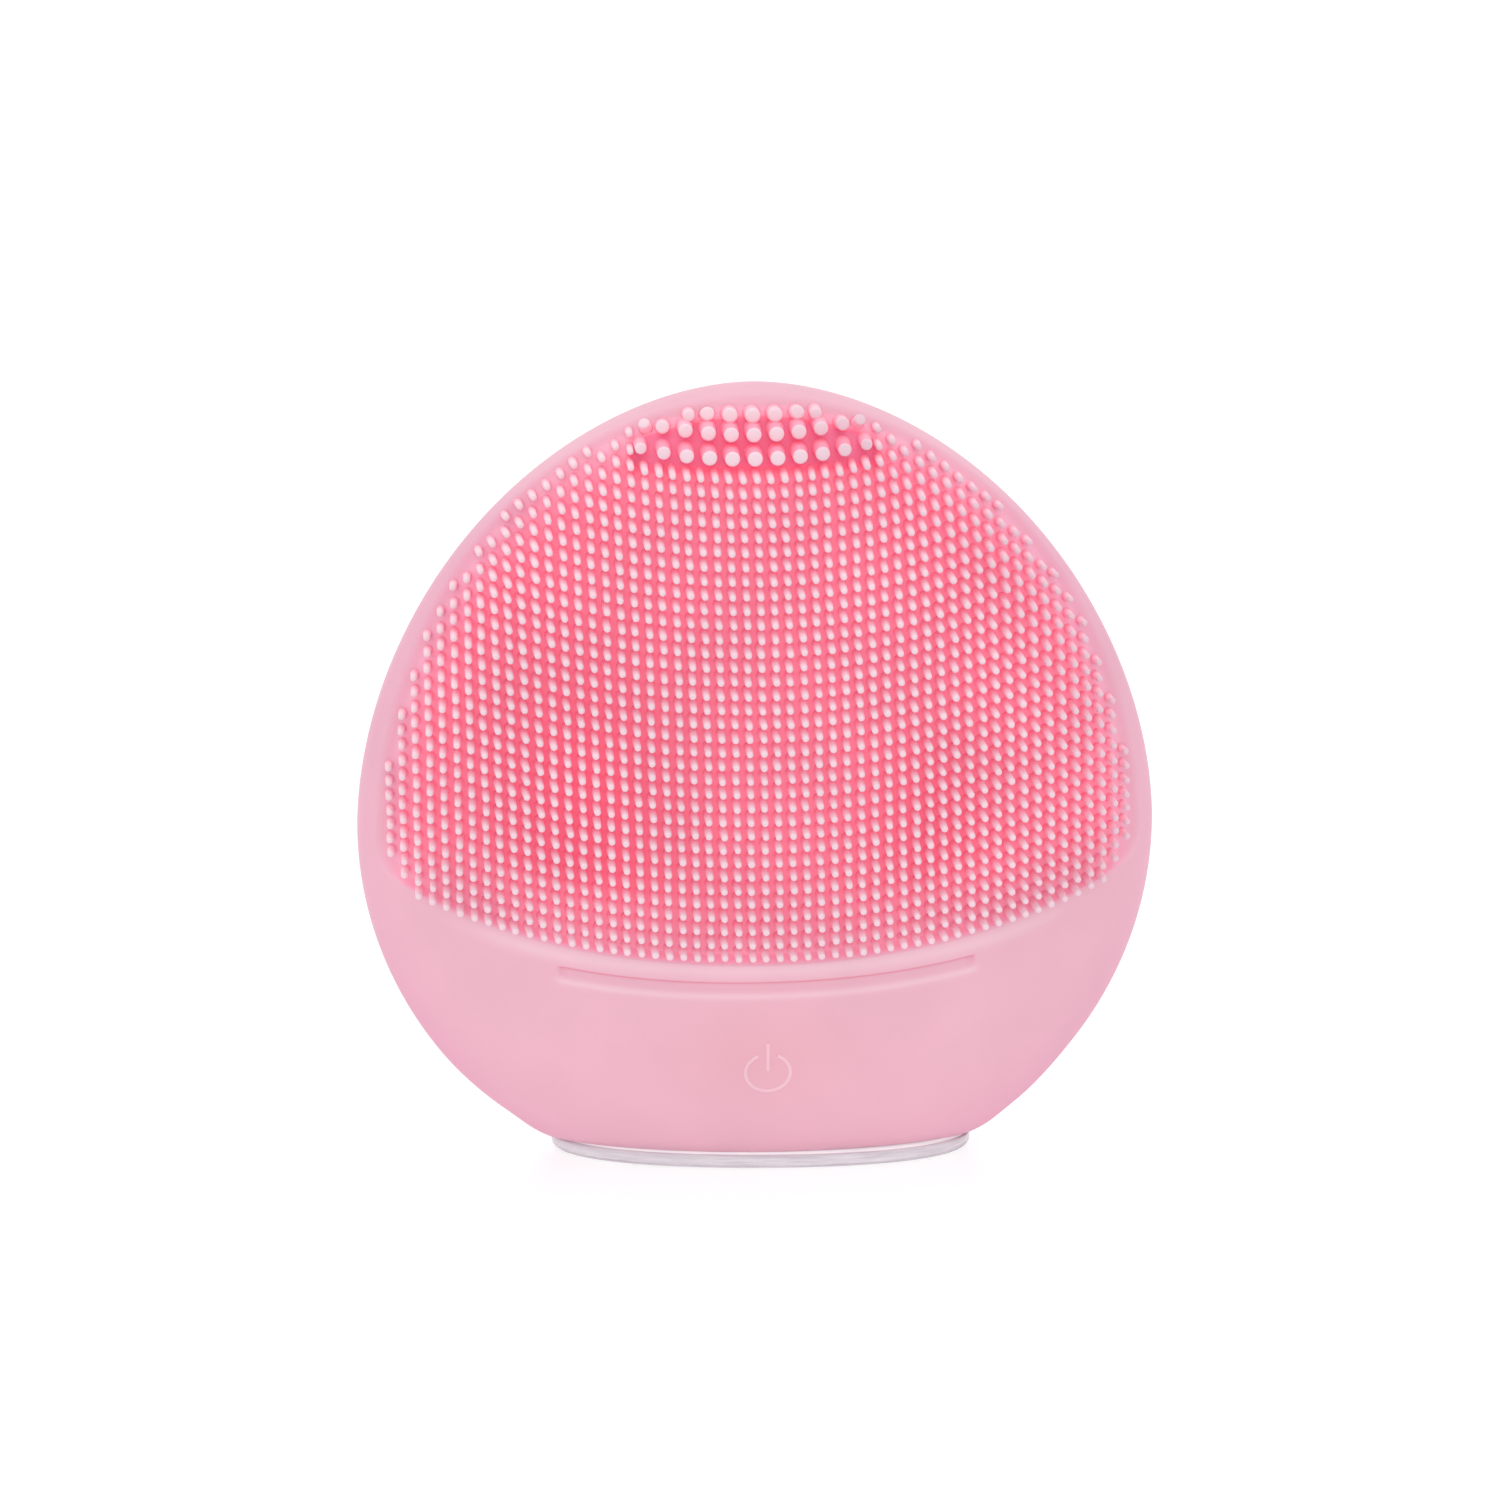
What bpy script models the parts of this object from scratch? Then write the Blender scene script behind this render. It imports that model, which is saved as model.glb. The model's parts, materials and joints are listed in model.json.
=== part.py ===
"""Palm-size silicone facial cleansing brush, standing on its clear display stand.

The brush is an egg-shaped body, flat in depth, with a silicone sleeve over two plastic
half housings.  Its front carries a sunken field of fine bristles and, at the crown, three
rows of thick ones.  Below the field lies a moulded groove, and below that a power button
under the skin.  Inside are the board, the battery, the charging jack and a small motor
with an eccentric weight, which makes the head vibrate.

Frame: X to the brush's right as seen from the front, -Y to the front, +Z up.  The origin
is the middle of the stand's underside.
"""

import math

import bmesh
import bpy
from mathutils import Matrix, Vector

MM = 0.001
GAP = 0.3 * MM                      # play between pieces that touch

# Display stand: a solid oval dish with a flat top and a rounded edge
STAND_HEIGHT = 1.6 * MM
STAND_RIM = 21.3 * MM               # half width at its widest
STAND_UNDERSIDE = 18.9 * MM         # half width at the underside
STAND_FLATNESS = 0.45               # depth over width

# Body of the brush; heights are measured from its foot
FOOT_Z = STAND_HEIGHT + GAP
BODY_HEIGHT = 76.5 * MM
BODY_HALF_WIDTH = 40.0 * MM
WIDEST_AT = 31.8 * MM
CROWN_POWER = 1.85                  # superellipse power of the outline above the widest height
LOWER_RADIUS = 38.3 * MM            # half height of the ellipse that the lower outline follows
BODY_HALF_DEPTH = 16.5 * MM
DEEPEST_AT = 26.0 * MM
LOWER_DEPTH_RADIUS = 30.6 * MM
SECTION_POWER = 2.2                 # superellipse power of a level section
BODY_SEGMENTS = 32
RINGS_ABOVE = 10                    # rings from the crown down to the widest height
RINGS_BELOW = 7                     # rings from there down to the foot's edge

# Walls, as insets from the outer skin
SLEEVE_WALL = 1.8 * MM
HOUSING_WALL = 1.6 * MM
HOUSING_OUTSIDE = SLEEVE_WALL + GAP
HOUSING_MIDWALL = HOUSING_OUTSIDE + 0.5 * HOUSING_WALL
HOUSING_INSIDE = HOUSING_OUTSIDE + HOUSING_WALL
PARTING_GAP = 0.7 * MM              # from the middle plane to each housing's rim
SEAL_RADIUS = 0.35 * MM

# Bristle field on the front
FIELD_HALF_WIDTH = 37.7 * MM
FIELD_TOP = 75.3 * MM
FIELD_POWER = 2.0                   # superellipse power of its upper edge
FIELD_BOTTOM = 21.6 * MM            # lowest point, on the middle line
FIELD_CORNER = 37.0 * MM            # half width at the two lower corners
FIELD_SMILE = 7.4 * MM              # rise of the lower edge from the middle to the corners
FIELD_RECESS = 0.8 * MM
FIELD_CLEARANCE = 0.4 * MM          # between the recess's wall and the bristles
BRISTLE_PROUD = 2.0 * MM            # bristle tips above the surrounding skin
THICK_FIELD_BOTTOM = 69.7 * MM
THICK_FIELD_HALF_WIDTH = 12.9 * MM
THICK_FIELD_SMILE = 1.3 * MM

# Moulded groove below the field
GROOVE_HALF_LENGTH = 20.3 * MM
GROOVE_BELOW_FIELD = 2.9 * MM
GROOVE_RADIUS = 0.65 * MM

# Power button, in a frame on the skin: +z out of the skin, +y up along it
BUTTON_AT = 9.6 * MM                # height on the body
BUTTON_TRAVEL = 0.4 * MM            # room for the stem below its seat in the switch
PLUNGER_RADIUS = 4.0 * MM
PLUNGER_FLANGE = 5.2 * MM
PLUNGER_HOLE = 4.4 * MM
STEM_RADIUS = 1.0 * MM
STEM_END = -7.5 * MM

# Board, level with the skin behind the button
BOARD_DEPTH = 9.4 * MM              # below the skin
BOARD_THICKNESS = 1.0 * MM
BOARD_WIDTH = 30.0 * MM
BOARD_LOW = -6.0 * MM
BOARD_HIGH = 16.0 * MM
BOARD_SCREW_X = 12.0 * MM
BOARD_SCREW_Y = 13.0 * MM

# Screws that close the housing, driven from the back
LOWER_BOSSES = (27.0 * MM, 20.0 * MM)  # distance to each side, and height on the body
UPPER_BOSSES = (24.0 * MM, 48.0 * MM)
BOSS_FACE = 0.2 * MM                # from the middle plane to each boss's face
FRONT_BOSS_RADIUS = 2.4 * MM
REAR_BOSS_RADIUS = 3.2 * MM
PILOT_HOLE = 1.1 * MM
COUNTERBORE = 2.3 * MM
COUNTERBORE_FLOOR = 3.5 * MM

# Battery
BATTERY_SIZE = Vector((30.0, 5.5, 22.0)) * MM
BATTERY_CENTRE = Vector((0.0, 7.35, 32.4)) * MM

# Motor, lying along X in a seat of the rear housing
MOTOR_AT = 56.0 * MM
MOTOR_RADIUS = 6.0 * MM
MOTOR_LEFT = -8.0 * MM
MOTOR_RIGHT = 7.0 * MM
SHAFT_RADIUS = 0.75 * MM
SHAFT_BORE = SHAFT_RADIUS + GAP
DAMPER_RADIUS = 7.0 * MM
SEAT_RADIUS = DAMPER_RADIUS + GAP
SEAT_LEFT = -5.0 * MM
SEAT_RIGHT = 3.0 * MM
CLAMP_SCREW_OFFSET = 10.0 * MM
CLAMP_HALF_HEIGHT = 12.0 * MM
CLAMP_EAR = 3.2 * MM

# Charging jack in the back
JACK_AT = 14.0 * MM
JACK_NOSE_RADIUS = 2.4 * MM
JACK_BORE = 1.3 * MM
JACK_SHOULDER = 8.8 * MM
JACK_NOSE_END = 12.2 * MM
SLEEVE_PORT = 1.7 * MM

# Screws, in millimetres: shank radius, shank length, head radius, head height
HOUSING_SCREW = (0.8, 8.0, 1.9, 1.4)
CLAMP_SCREW = (0.7, 6.6, 1.6, 1.0)
BOARD_SCREW = (0.7, 4.6, 1.6, 1.0)

WIRE_RADIUS = 0.4 * MM

MATERIALS = {
    "pink_silicone": ((0.84, 0.46, 0.54, 1.0), 0.45, 0.0),
    "bristle_silicone": ((0.93, 0.23, 0.33, 1.0), 0.45, 0.0),
    "clear_plastic": ((0.86, 0.84, 0.87, 1.0), 0.08, 0.0),
    "white_abs": ((0.80, 0.80, 0.78, 1.0), 0.40, 0.0),
    "seal_rubber": ((0.06, 0.06, 0.06, 1.0), 0.70, 0.0),
    "steel": ((0.56, 0.57, 0.58, 1.0), 0.28, 1.0),
    "motor_steel": ((0.62, 0.62, 0.60, 1.0), 0.35, 1.0),
    "ferrite": ((0.05, 0.05, 0.055, 1.0), 0.60, 0.0),
    "copper": ((0.75, 0.35, 0.18, 1.0), 0.35, 1.0),
    "tungsten": ((0.35, 0.35, 0.37, 1.0), 0.40, 1.0),
    "board_green": ((0.03, 0.20, 0.09, 1.0), 0.35, 0.0),
    "chip_black": ((0.02, 0.02, 0.022, 1.0), 0.45, 0.0),
    "lens_white": ((0.90, 0.90, 0.86, 1.0), 0.20, 0.0),
    "battery_foil": ((0.60, 0.61, 0.63, 1.0), 0.38, 0.8),
    "foam": ((0.20, 0.20, 0.21, 1.0), 0.90, 0.0),
    "wire_red": ((0.60, 0.03, 0.03, 1.0), 0.45, 0.0),
    "wire_black": ((0.02, 0.02, 0.02, 1.0), 0.45, 0.0),
}


# ---------------------------------------------------------------- scene and objects

def clear_scene():
    for item in list(bpy.data.objects):
        bpy.data.objects.remove(item, do_unlink=True)


def new_collection(name):
    collection = bpy.data.collections.new(name)
    bpy.context.scene.collection.children.link(collection)
    return collection


clear_scene()
PARTS = new_collection("facial_cleansing_brush")
CUTTERS = new_collection("cutters")


def material(name):
    """The named material, made the first time it is asked for."""
    found = bpy.data.materials.get(name)
    if found:
        return found
    colour, roughness, metallic = MATERIALS[name]
    made = bpy.data.materials.new(name)
    made.use_nodes = True
    made.diffuse_color = colour
    shader = made.node_tree.nodes["Principled BSDF"]
    shader.inputs["Base Color"].default_value = colour
    shader.inputs["Roughness"].default_value = roughness
    shader.inputs["Metallic"].default_value = metallic
    return made


def add_object(name, bm, look=None, place=None):
    """Turn a bmesh into an object: a part if it has a look, a cutter if it has none."""
    bmesh.ops.recalc_face_normals(bm, faces=bm.faces)
    mesh = bpy.data.meshes.new(name)
    bm.to_mesh(mesh)
    bm.free()
    item = bpy.data.objects.new(name, mesh)
    if look:
        mesh.materials.append(material(look))
        PARTS.objects.link(item)
    else:
        CUTTERS.objects.link(item)
        item.display_type = "WIRE"
        item.hide_render = True
    if place:
        item.matrix_world = place
    return item


def shade(item, angle=30.0):
    item.data.shade_smooth()
    item.data.set_sharp_from_angle(angle=math.radians(angle))


def combine(item, operand, operation="DIFFERENCE"):
    step = item.modifiers.new(operation.lower(), "BOOLEAN")
    step.operation = operation
    step.solver = "EXACT"
    step.object = operand
    return item


# ---------------------------------------------------------------- basic shapes

def add_box(name, size, centre, look=None, place=None, bevel=0.0):
    bm = bmesh.new()
    bmesh.ops.create_cube(bm, size=1.0)
    bmesh.ops.scale(bm, vec=Vector(size), verts=bm.verts)
    bmesh.ops.translate(bm, vec=Vector(centre), verts=bm.verts)
    item = add_object(name, bm, look, place)
    if bevel:
        step = item.modifiers.new("rounded edges", "BEVEL")
        step.width = bevel
        step.segments = 2
    return item


def add_cylinders(name, radius, bottom, top, places, look=None, segments=14):
    """Upright cylinders in one mesh, each stood at its own place."""
    bm = bmesh.new()
    for place in places:
        middle = Matrix.Translation((0.0, 0.0, 0.5 * (bottom + top)))
        bmesh.ops.create_cone(bm, cap_ends=True, segments=segments, radius1=radius, radius2=radius,
                              depth=top - bottom, matrix=place @ middle)
    return add_object(name, bm, look)


def add_turned(name, profile, look=None, place=None, steps=20):
    """A solid turned about its own Z from (radius, height) points down its outer side.

    A profile that starts and ends off the axis is closed on itself, which makes a ring.
    """
    points = [(radius, 0.0, height) for radius, height in profile]
    edges = [(i, i + 1) for i in range(len(points) - 1)]
    if profile[0][0] > 0.0:
        edges.append((len(points) - 1, 0))
    mesh = bpy.data.meshes.new(name)
    mesh.from_pydata(points, edges, [])
    bm = bmesh.new()
    bm.from_mesh(mesh)
    bpy.data.meshes.remove(mesh)
    item = add_object(name, bm, look, place)
    turn = item.modifiers.new("turned", "SCREW")
    turn.steps = steps
    turn.render_steps = steps
    turn.use_merge_vertices = True
    turn.merge_threshold = 0.00001
    return item


def curve_to_mesh(curve_item, name, look):
    """Replace a curve object with a mesh object whose caps are welded on."""
    PARTS.objects.link(curve_item)
    bpy.context.view_layer.update()
    graph = bpy.context.evaluated_depsgraph_get()
    mesh = bpy.data.meshes.new_from_object(curve_item.evaluated_get(graph))
    bm = bmesh.new()
    bm.from_mesh(mesh)
    bmesh.ops.remove_doubles(bm, verts=bm.verts, dist=0.000001)
    place = curve_item.matrix_world.copy()
    bpy.data.meshes.remove(mesh)
    bpy.data.objects.remove(curve_item, do_unlink=True)
    return add_object(name, bm, look, place)


def add_tube(name, points, radius, look=None, closed=False):
    """A round tube along points."""
    curve = bpy.data.curves.new(name, "CURVE")
    curve.dimensions = "3D"
    curve.bevel_depth = radius
    curve.bevel_resolution = 2
    curve.use_fill_caps = not closed
    spline = curve.splines.new("POLY")
    spline.points.add(len(points) - 1)
    for slot, point in zip(spline.points, points):
        slot.co = (*point, 1.0)
    spline.use_cyclic_u = closed
    return curve_to_mesh(bpy.data.objects.new(name + "_curve", curve), name, look)


def add_prism(name, outline, front, back, look=None):
    """A flat (x, z) outline pulled out along Y from front to back."""
    curve = bpy.data.curves.new(name, "CURVE")
    curve.dimensions = "2D"
    curve.fill_mode = "BOTH"
    curve.extrude = 0.5 * (back - front)
    spline = curve.splines.new("POLY")
    spline.points.add(len(outline) - 1)
    for slot, (x, z) in zip(spline.points, outline):
        slot.co = (x, z, 0.0, 1.0)
    spline.use_cyclic_u = True
    item = bpy.data.objects.new(name + "_curve", curve)
    stand_up = Matrix.Rotation(math.pi / 2, 4, "X")
    item.matrix_world = Matrix.Translation((0.0, 0.5 * (front + back), 0.0)) @ stand_up
    return curve_to_mesh(item, name, look)


def smooth_path(points, steps=4):
    """Points read from a Catmull-Rom curve through the given ones."""
    knots = [Vector(p) * MM for p in points]
    ends = [2 * knots[0] - knots[1]] + knots + [2 * knots[-1] - knots[-2]]
    path = []
    for a, b, c, d in zip(ends, ends[1:], ends[2:], ends[3:]):
        for i in range(steps):
            t = i / steps
            path.append(0.5 * (2 * b + (c - a) * t + (2 * a - 5 * b + 4 * c - d) * t * t
                               + (3 * b - a - 3 * c + d) * t ** 3))
    return path + [knots[-1]]


# ---------------------------------------------------------------- the body's own form

def half_width(height):
    """Half width of the body at a height above its foot."""
    if height > WIDEST_AT:
        share = min((height - WIDEST_AT) / (BODY_HEIGHT - WIDEST_AT), 1.0)
        return BODY_HALF_WIDTH * (1.0 - share ** CROWN_POWER) ** (1.0 / CROWN_POWER)
    share = (WIDEST_AT - height) / LOWER_RADIUS
    return BODY_HALF_WIDTH * math.sqrt(1.0 - share * share)


def half_depth(height):
    """Half depth of the body at a height above its foot."""
    if height > DEEPEST_AT:
        share = min((height - DEEPEST_AT) / (BODY_HEIGHT - DEEPEST_AT), 1.0)
    else:
        share = (DEEPEST_AT - height) / LOWER_DEPTH_RADIUS
    return BODY_HALF_DEPTH * math.sqrt(1.0 - share * share)


def front_skin(x, height):
    """Y of the front skin."""
    share = abs(x) / half_width(height)
    return -half_depth(height) * (1.0 - share ** SECTION_POWER) ** (1.0 / SECTION_POWER)


def signed_power(value, power):
    return math.copysign(abs(value) ** power, value)


def ring_height(ring):
    """Height of a ring of the body's form, counted from the crown."""
    if ring <= RINGS_ABOVE:
        return WIDEST_AT + (BODY_HEIGHT - WIDEST_AT) * math.cos(0.5 * math.pi * ring / RINGS_ABOVE)
    foot_angle = math.asin(WIDEST_AT / LOWER_RADIUS)
    angle = foot_angle * (ring - RINGS_ABOVE) / RINGS_BELOW
    return max(WIDEST_AT - LOWER_RADIUS * math.sin(angle), 0.0)


def body_form(name, inset, look=None):
    """The body's outer form moved inwards by an inset, or outwards by a negative one."""
    bm = bmesh.new()
    rings = RINGS_ABOVE + RINGS_BELOW + 1
    bmesh.ops.create_uvsphere(bm, u_segments=BODY_SEGMENTS, v_segments=rings, radius=1.0)
    for vert in bm.verts:
        ring = round(math.acos(max(-1.0, min(1.0, vert.co.z))) / math.pi * rings)
        turn = math.atan2(vert.co.y, vert.co.x)
        if ring == rings:
            vert.co = (0.0, 0.0, 0.0)
            continue
        height = ring_height(ring)
        vert.co.x = half_width(height) * signed_power(math.cos(turn), 2.0 / SECTION_POWER)
        vert.co.y = half_depth(height) * signed_power(math.sin(turn), 2.0 / SECTION_POWER)
        vert.co.z = height
    bm.normal_update()
    moves = [vert.normal * vert.calc_shell_factor() * -inset for vert in bm.verts]
    for vert, move in zip(bm.verts, moves):
        vert.co += move
    item = add_object(name, bm, look, Matrix.Translation((0.0, 0.0, FOOT_Z)))
    shade(item)
    return item


def looking_back(x, height):
    """A frame whose +Z points to the back, at a place on the brush's middle plane."""
    return Matrix.Translation((x, 0.0, FOOT_Z + height)) @ Matrix.Rotation(-math.pi / 2, 4, "X")


def button_frame():
    """A frame on the skin at the button: +Z out of the skin, +Y up along it."""
    share = (DEEPEST_AT - BUTTON_AT) / LOWER_DEPTH_RADIUS
    slope = BODY_HALF_DEPTH * share / (LOWER_DEPTH_RADIUS * math.sqrt(1.0 - share * share))
    place = Matrix.Translation((0.0, -half_depth(BUTTON_AT), FOOT_Z + BUTTON_AT))
    return place @ Matrix.Rotation(math.pi / 2 + math.atan(slope), 4, "X")


BUTTON = button_frame()
BOSSES = [(side * x, z) for x, z in (LOWER_BOSSES, UPPER_BOSSES) for side in (-1.0, 1.0)]
MOTOR = Matrix.Translation((0.0, 0.0, FOOT_Z + MOTOR_AT)) @ Matrix.Rotation(math.pi / 2, 4, "Y")


# ---------------------------------------------------------------- outlines of the field

def field_edge(x, inset=0.0):
    """Height of the field's upper edge over x."""
    share = abs(x) / (FIELD_HALF_WIDTH - inset)
    rise = (1.0 - share ** FIELD_POWER) ** (1.0 / FIELD_POWER)
    return WIDEST_AT + (FIELD_TOP - WIDEST_AT - inset) * rise


def field_floor(x):
    """Height of the field's lower edge over x, which curves up towards the sides."""
    return FIELD_BOTTOM + FIELD_SMILE * (x / FIELD_CORNER) ** 2


def thick_floor(x):
    """Height of the line between the thick bristles and the fine ones."""
    return THICK_FIELD_BOTTOM + THICK_FIELD_SMILE * (x / THICK_FIELD_HALF_WIDTH) ** 2


def across(half, count):
    """Even steps from -half to +half."""
    return [half * (2.0 * i / count - 1.0) for i in range(count + 1)]


def field_outline(inset, notch=False):
    """The field's (x, z) outline, and with a notch the fine bristles' share of it."""
    corner = FIELD_CORNER - inset
    outline = [(x, field_floor(x) + inset) for x in across(corner, 14)]
    half = FIELD_HALF_WIDTH - inset
    side = [half * math.cos(math.radians(a)) for a in range(0, 91, 6)]
    right = [(x, field_edge(x, inset)) for x in side]
    if notch:
        right = [(x, z) for x, z in right if x > THICK_FIELD_HALF_WIDTH + 0.6 * MM]
        brink = [(-x, thick_floor(x) - GAP) for x in across(THICK_FIELD_HALF_WIDTH + 0.2 * MM, 8)]
    else:
        right = right[:-1]
        brink = [(0.0, field_edge(0.0, inset))]
    left = [(-x, z) for x, z in reversed(right)]
    return [(x, z + FOOT_Z) for x, z in outline + right + brink + left]


def thick_outline(inset):
    half = THICK_FIELD_HALF_WIDTH - 3.0 * inset
    lower = [(x, thick_floor(x) + 0.1 * MM) for x in across(half, 8)]
    upper = [(-x, field_edge(x, inset)) for x in across(half, 8)]
    return [(x, z + FOOT_Z) for x, z in lower + upper]


# ---------------------------------------------------------------- stand and skin

def make_stand():
    profile = [
        (0.0, STAND_HEIGHT),
        (STAND_RIM - 0.5 * MM, STAND_HEIGHT),
        (STAND_RIM - 0.1 * MM, STAND_HEIGHT - 0.25 * MM),
        (STAND_RIM, 0.95 * MM),
        (STAND_RIM - 0.3 * MM, 0.45 * MM),
        (STAND_RIM - 1.2 * MM, 0.1 * MM),
        (STAND_UNDERSIDE, 0.0),
        (0.0, 0.0),
    ]
    oval = Matrix.Diagonal((1.0, STAND_FLATNESS, 1.0, 1.0))
    return add_turned("display_stand", profile, "clear_plastic", oval, steps=36)


def make_sleeve():
    sleeve = body_form("silicone_sleeve", 0.0, "pink_silicone")
    recess = add_prism("recess_cutter", field_outline(0.0), -30.0 * MM, -0.5 * MM)
    combine(recess, body_form("recess_floor", FIELD_RECESS))
    combine(sleeve, recess)
    combine(sleeve, groove_cutter())
    combine(sleeve, body_form("sleeve_inside", SLEEVE_WALL))
    port = [looking_back(0.0, JACK_AT)]
    combine(sleeve, add_cylinders("port_cutter", SLEEVE_PORT, 9.0 * MM, 20.0 * MM, port))
    return sleeve


def groove_cutter():
    path = []
    for x in across(GROOVE_HALF_LENGTH, 16):
        height = field_floor(x) - GROOVE_BELOW_FIELD
        path.append((x, front_skin(x, height), FOOT_Z + height))
    return add_tube("groove_cutter", path, GROOVE_RADIUS)


def make_bristle_field(name, outline):
    """A soft slab that fills the space of a set of bristles."""
    slab = add_prism(name, outline, -30.0 * MM, -1.0 * MM, "bristle_silicone")
    combine(slab, body_form(name + "_top", -BRISTLE_PROUD), "INTERSECT")
    combine(slab, body_form(name + "_floor", FIELD_RECESS - GAP))
    return slab


# ---------------------------------------------------------------- housings

def make_housing(name, front):
    """A half shell with its rim on the middle plane."""
    housing = body_form(name, HOUSING_OUTSIDE, "white_abs")
    combine(housing, body_form(name + "_inside", HOUSING_INSIDE))
    side = 1.0 if front else -1.0
    spare = add_box(name + "_other_half", (0.1, 0.05, 0.1),
                    (0.0, side * (0.025 - PARTING_GAP), FOOT_Z + 0.04))
    combine(housing, spare)
    return housing


def add_to_housing(housing, lump):
    """Join a boss or a seat to the housing, ending inside its wall."""
    combine(lump, body_form(lump.name + "_limit", HOUSING_MIDWALL), "INTERSECT")
    combine(housing, lump, "UNION")


def board_posts():
    """Frames on the skin over the two posts that the board is screwed to."""
    return [BUTTON @ Matrix.Translation((side * BOARD_SCREW_X, BOARD_SCREW_Y, 0.0)) for side in (-1, 1)]


def make_front_housing():
    housing = make_housing("front_housing", front=True)
    bosses = [looking_back(x, z) for x, z in BOSSES]
    lumps = add_cylinders("front_bosses", FRONT_BOSS_RADIUS, -16.0 * MM, -BOSS_FACE, bosses)
    add_to_housing(housing, lumps)
    combine(housing, add_cylinders("front_pilots", PILOT_HOLE, -5.0 * MM, 1.0 * MM, bosses))
    posts = board_posts()
    add_to_housing(housing, add_cylinders("board_posts", 2.0 * MM, GAP - BOARD_DEPTH, 0.0, posts))
    combine(housing, add_cylinders("board_pilots", 1.0 * MM, -10.0 * MM, -5.8 * MM, posts))
    combine(housing, add_cylinders("plunger_hole", PLUNGER_HOLE, -8.0 * MM, 2.0 * MM, [BUTTON]))
    return housing


def make_rear_housing():
    housing = make_housing("rear_housing", front=False)
    bosses = [looking_back(x, z) for x, z in BOSSES]
    add_to_housing(housing, add_cylinders("rear_bosses", REAR_BOSS_RADIUS, BOSS_FACE, 16.0 * MM, bosses))
    combine(housing, add_cylinders("screw_holes", PILOT_HOLE, -1.0 * MM, 16.0 * MM, bosses))
    combine(housing, add_cylinders("counterbores", COUNTERBORE, COUNTERBORE_FLOOR, 18.0 * MM, bosses))
    seat = add_box("motor_seat", (SEAT_RIGHT - SEAT_LEFT, 12.0 * MM, 2.0 * CLAMP_HALF_HEIGHT),
                   (0.5 * (SEAT_LEFT + SEAT_RIGHT), 6.0 * MM + BOSS_FACE, FOOT_Z + MOTOR_AT))
    combine(seat, add_cylinders("seat_bore", SEAT_RADIUS, -10.0 * MM, 10.0 * MM, [MOTOR], segments=28))
    combine(seat, add_cylinders("seat_pilots", 1.0 * MM, -1.0 * MM, 4.0 * MM, clamp_screw_places()))
    add_to_housing(housing, seat)
    jack = [looking_back(0.0, JACK_AT)]
    combine(housing, add_cylinders("nose_hole", JACK_NOSE_RADIUS + 0.4 * MM, 7.0 * MM, 18.0 * MM, jack))
    return housing


def make_seal():
    """The round seal between the two housings' rims."""
    form = body_form("seal_guide", HOUSING_MIDWALL)
    rim = [FOOT_Z * Vector((0, 0, 1)) + v.co for v in form.data.vertices if abs(v.co.y) < 0.001 * MM]
    middle = sum(rim, Vector()) / len(rim)
    rim = [point for point in rim if (point - middle).length > 20.0 * MM]
    rim.sort(key=lambda point: math.atan2(point.z - middle.z, point.x - middle.x))
    return add_tube("housing_seal", rim, SEAL_RADIUS, "seal_rubber", closed=True)


# ---------------------------------------------------------------- screws

def make_screw(name, place, size):
    """A pan-head screw whose head stands on z = 0 and whose shank points down."""
    shank, length, head, head_height = (value * MM for value in size)
    profile = [
        (0.0, 0.5 * head_height),
        (0.45 * head, head_height),
        (0.75 * head, head_height),
        (head, 0.6 * head_height),
        (head, 0.0),
        (shank, 0.0),
        (shank, -0.9 * length),
        (0.0, -length),
    ]
    return add_turned(name, profile, "steel", place, steps=10)


def clamp_screw_places():
    """Frames of the two clamp screws, whose +Z points to the back."""
    x = 0.5 * (SEAT_LEFT + SEAT_RIGHT)
    return [looking_back(x, MOTOR_AT + side * CLAMP_SCREW_OFFSET) for side in (-1, 1)]


def make_screws():
    screws = []
    turned_over = Matrix.Rotation(math.pi, 4, "X")
    for number, (x, z) in enumerate(BOSSES, start=1):
        place = looking_back(x, z) @ Matrix.Translation((0.0, 0.0, COUNTERBORE_FLOOR + GAP))
        screws.append(make_screw(f"housing_screw_{number}", place, HOUSING_SCREW))
    for number, place in enumerate(clamp_screw_places(), start=1):
        place = place @ turned_over @ Matrix.Translation((0.0, 0.0, CLAMP_EAR + GAP))
        screws.append(make_screw(f"clamp_screw_{number}", place, CLAMP_SCREW))
    under_board = Matrix.Translation((0.0, 0.0, -BOARD_DEPTH - BOARD_THICKNESS - GAP))
    for number, post in enumerate(board_posts(), start=1):
        place = post @ under_board @ turned_over
        screws.append(make_screw(f"board_screw_{number}", place, BOARD_SCREW))
    return screws


# ---------------------------------------------------------------- button and board

def make_button():
    """The clear plunger under the skin and the stem of the switch that it pushes."""
    plunger = add_turned("button_plunger", [
        (0.0, -2.1 * MM),
        (PLUNGER_RADIUS - 0.4 * MM, -2.15 * MM),
        (PLUNGER_RADIUS, -2.5 * MM),
        (PLUNGER_RADIUS, -4.35 * MM),
        (PLUNGER_FLANGE, -4.35 * MM),
        (PLUNGER_FLANGE, -5.15 * MM),
        (1.3 * MM, -5.15 * MM),
        (1.3 * MM, -6.0 * MM),
        (0.0, -6.0 * MM),
    ], "clear_plastic", BUTTON, steps=24)
    stem = add_turned("switch_stem", [
        (0.0, -6.3 * MM),
        (STEM_RADIUS, -6.3 * MM),
        (STEM_RADIUS, STEM_END),
        (0.0, STEM_END),
    ], "chip_black", BUTTON, steps=16)
    return [plunger, stem]


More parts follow.
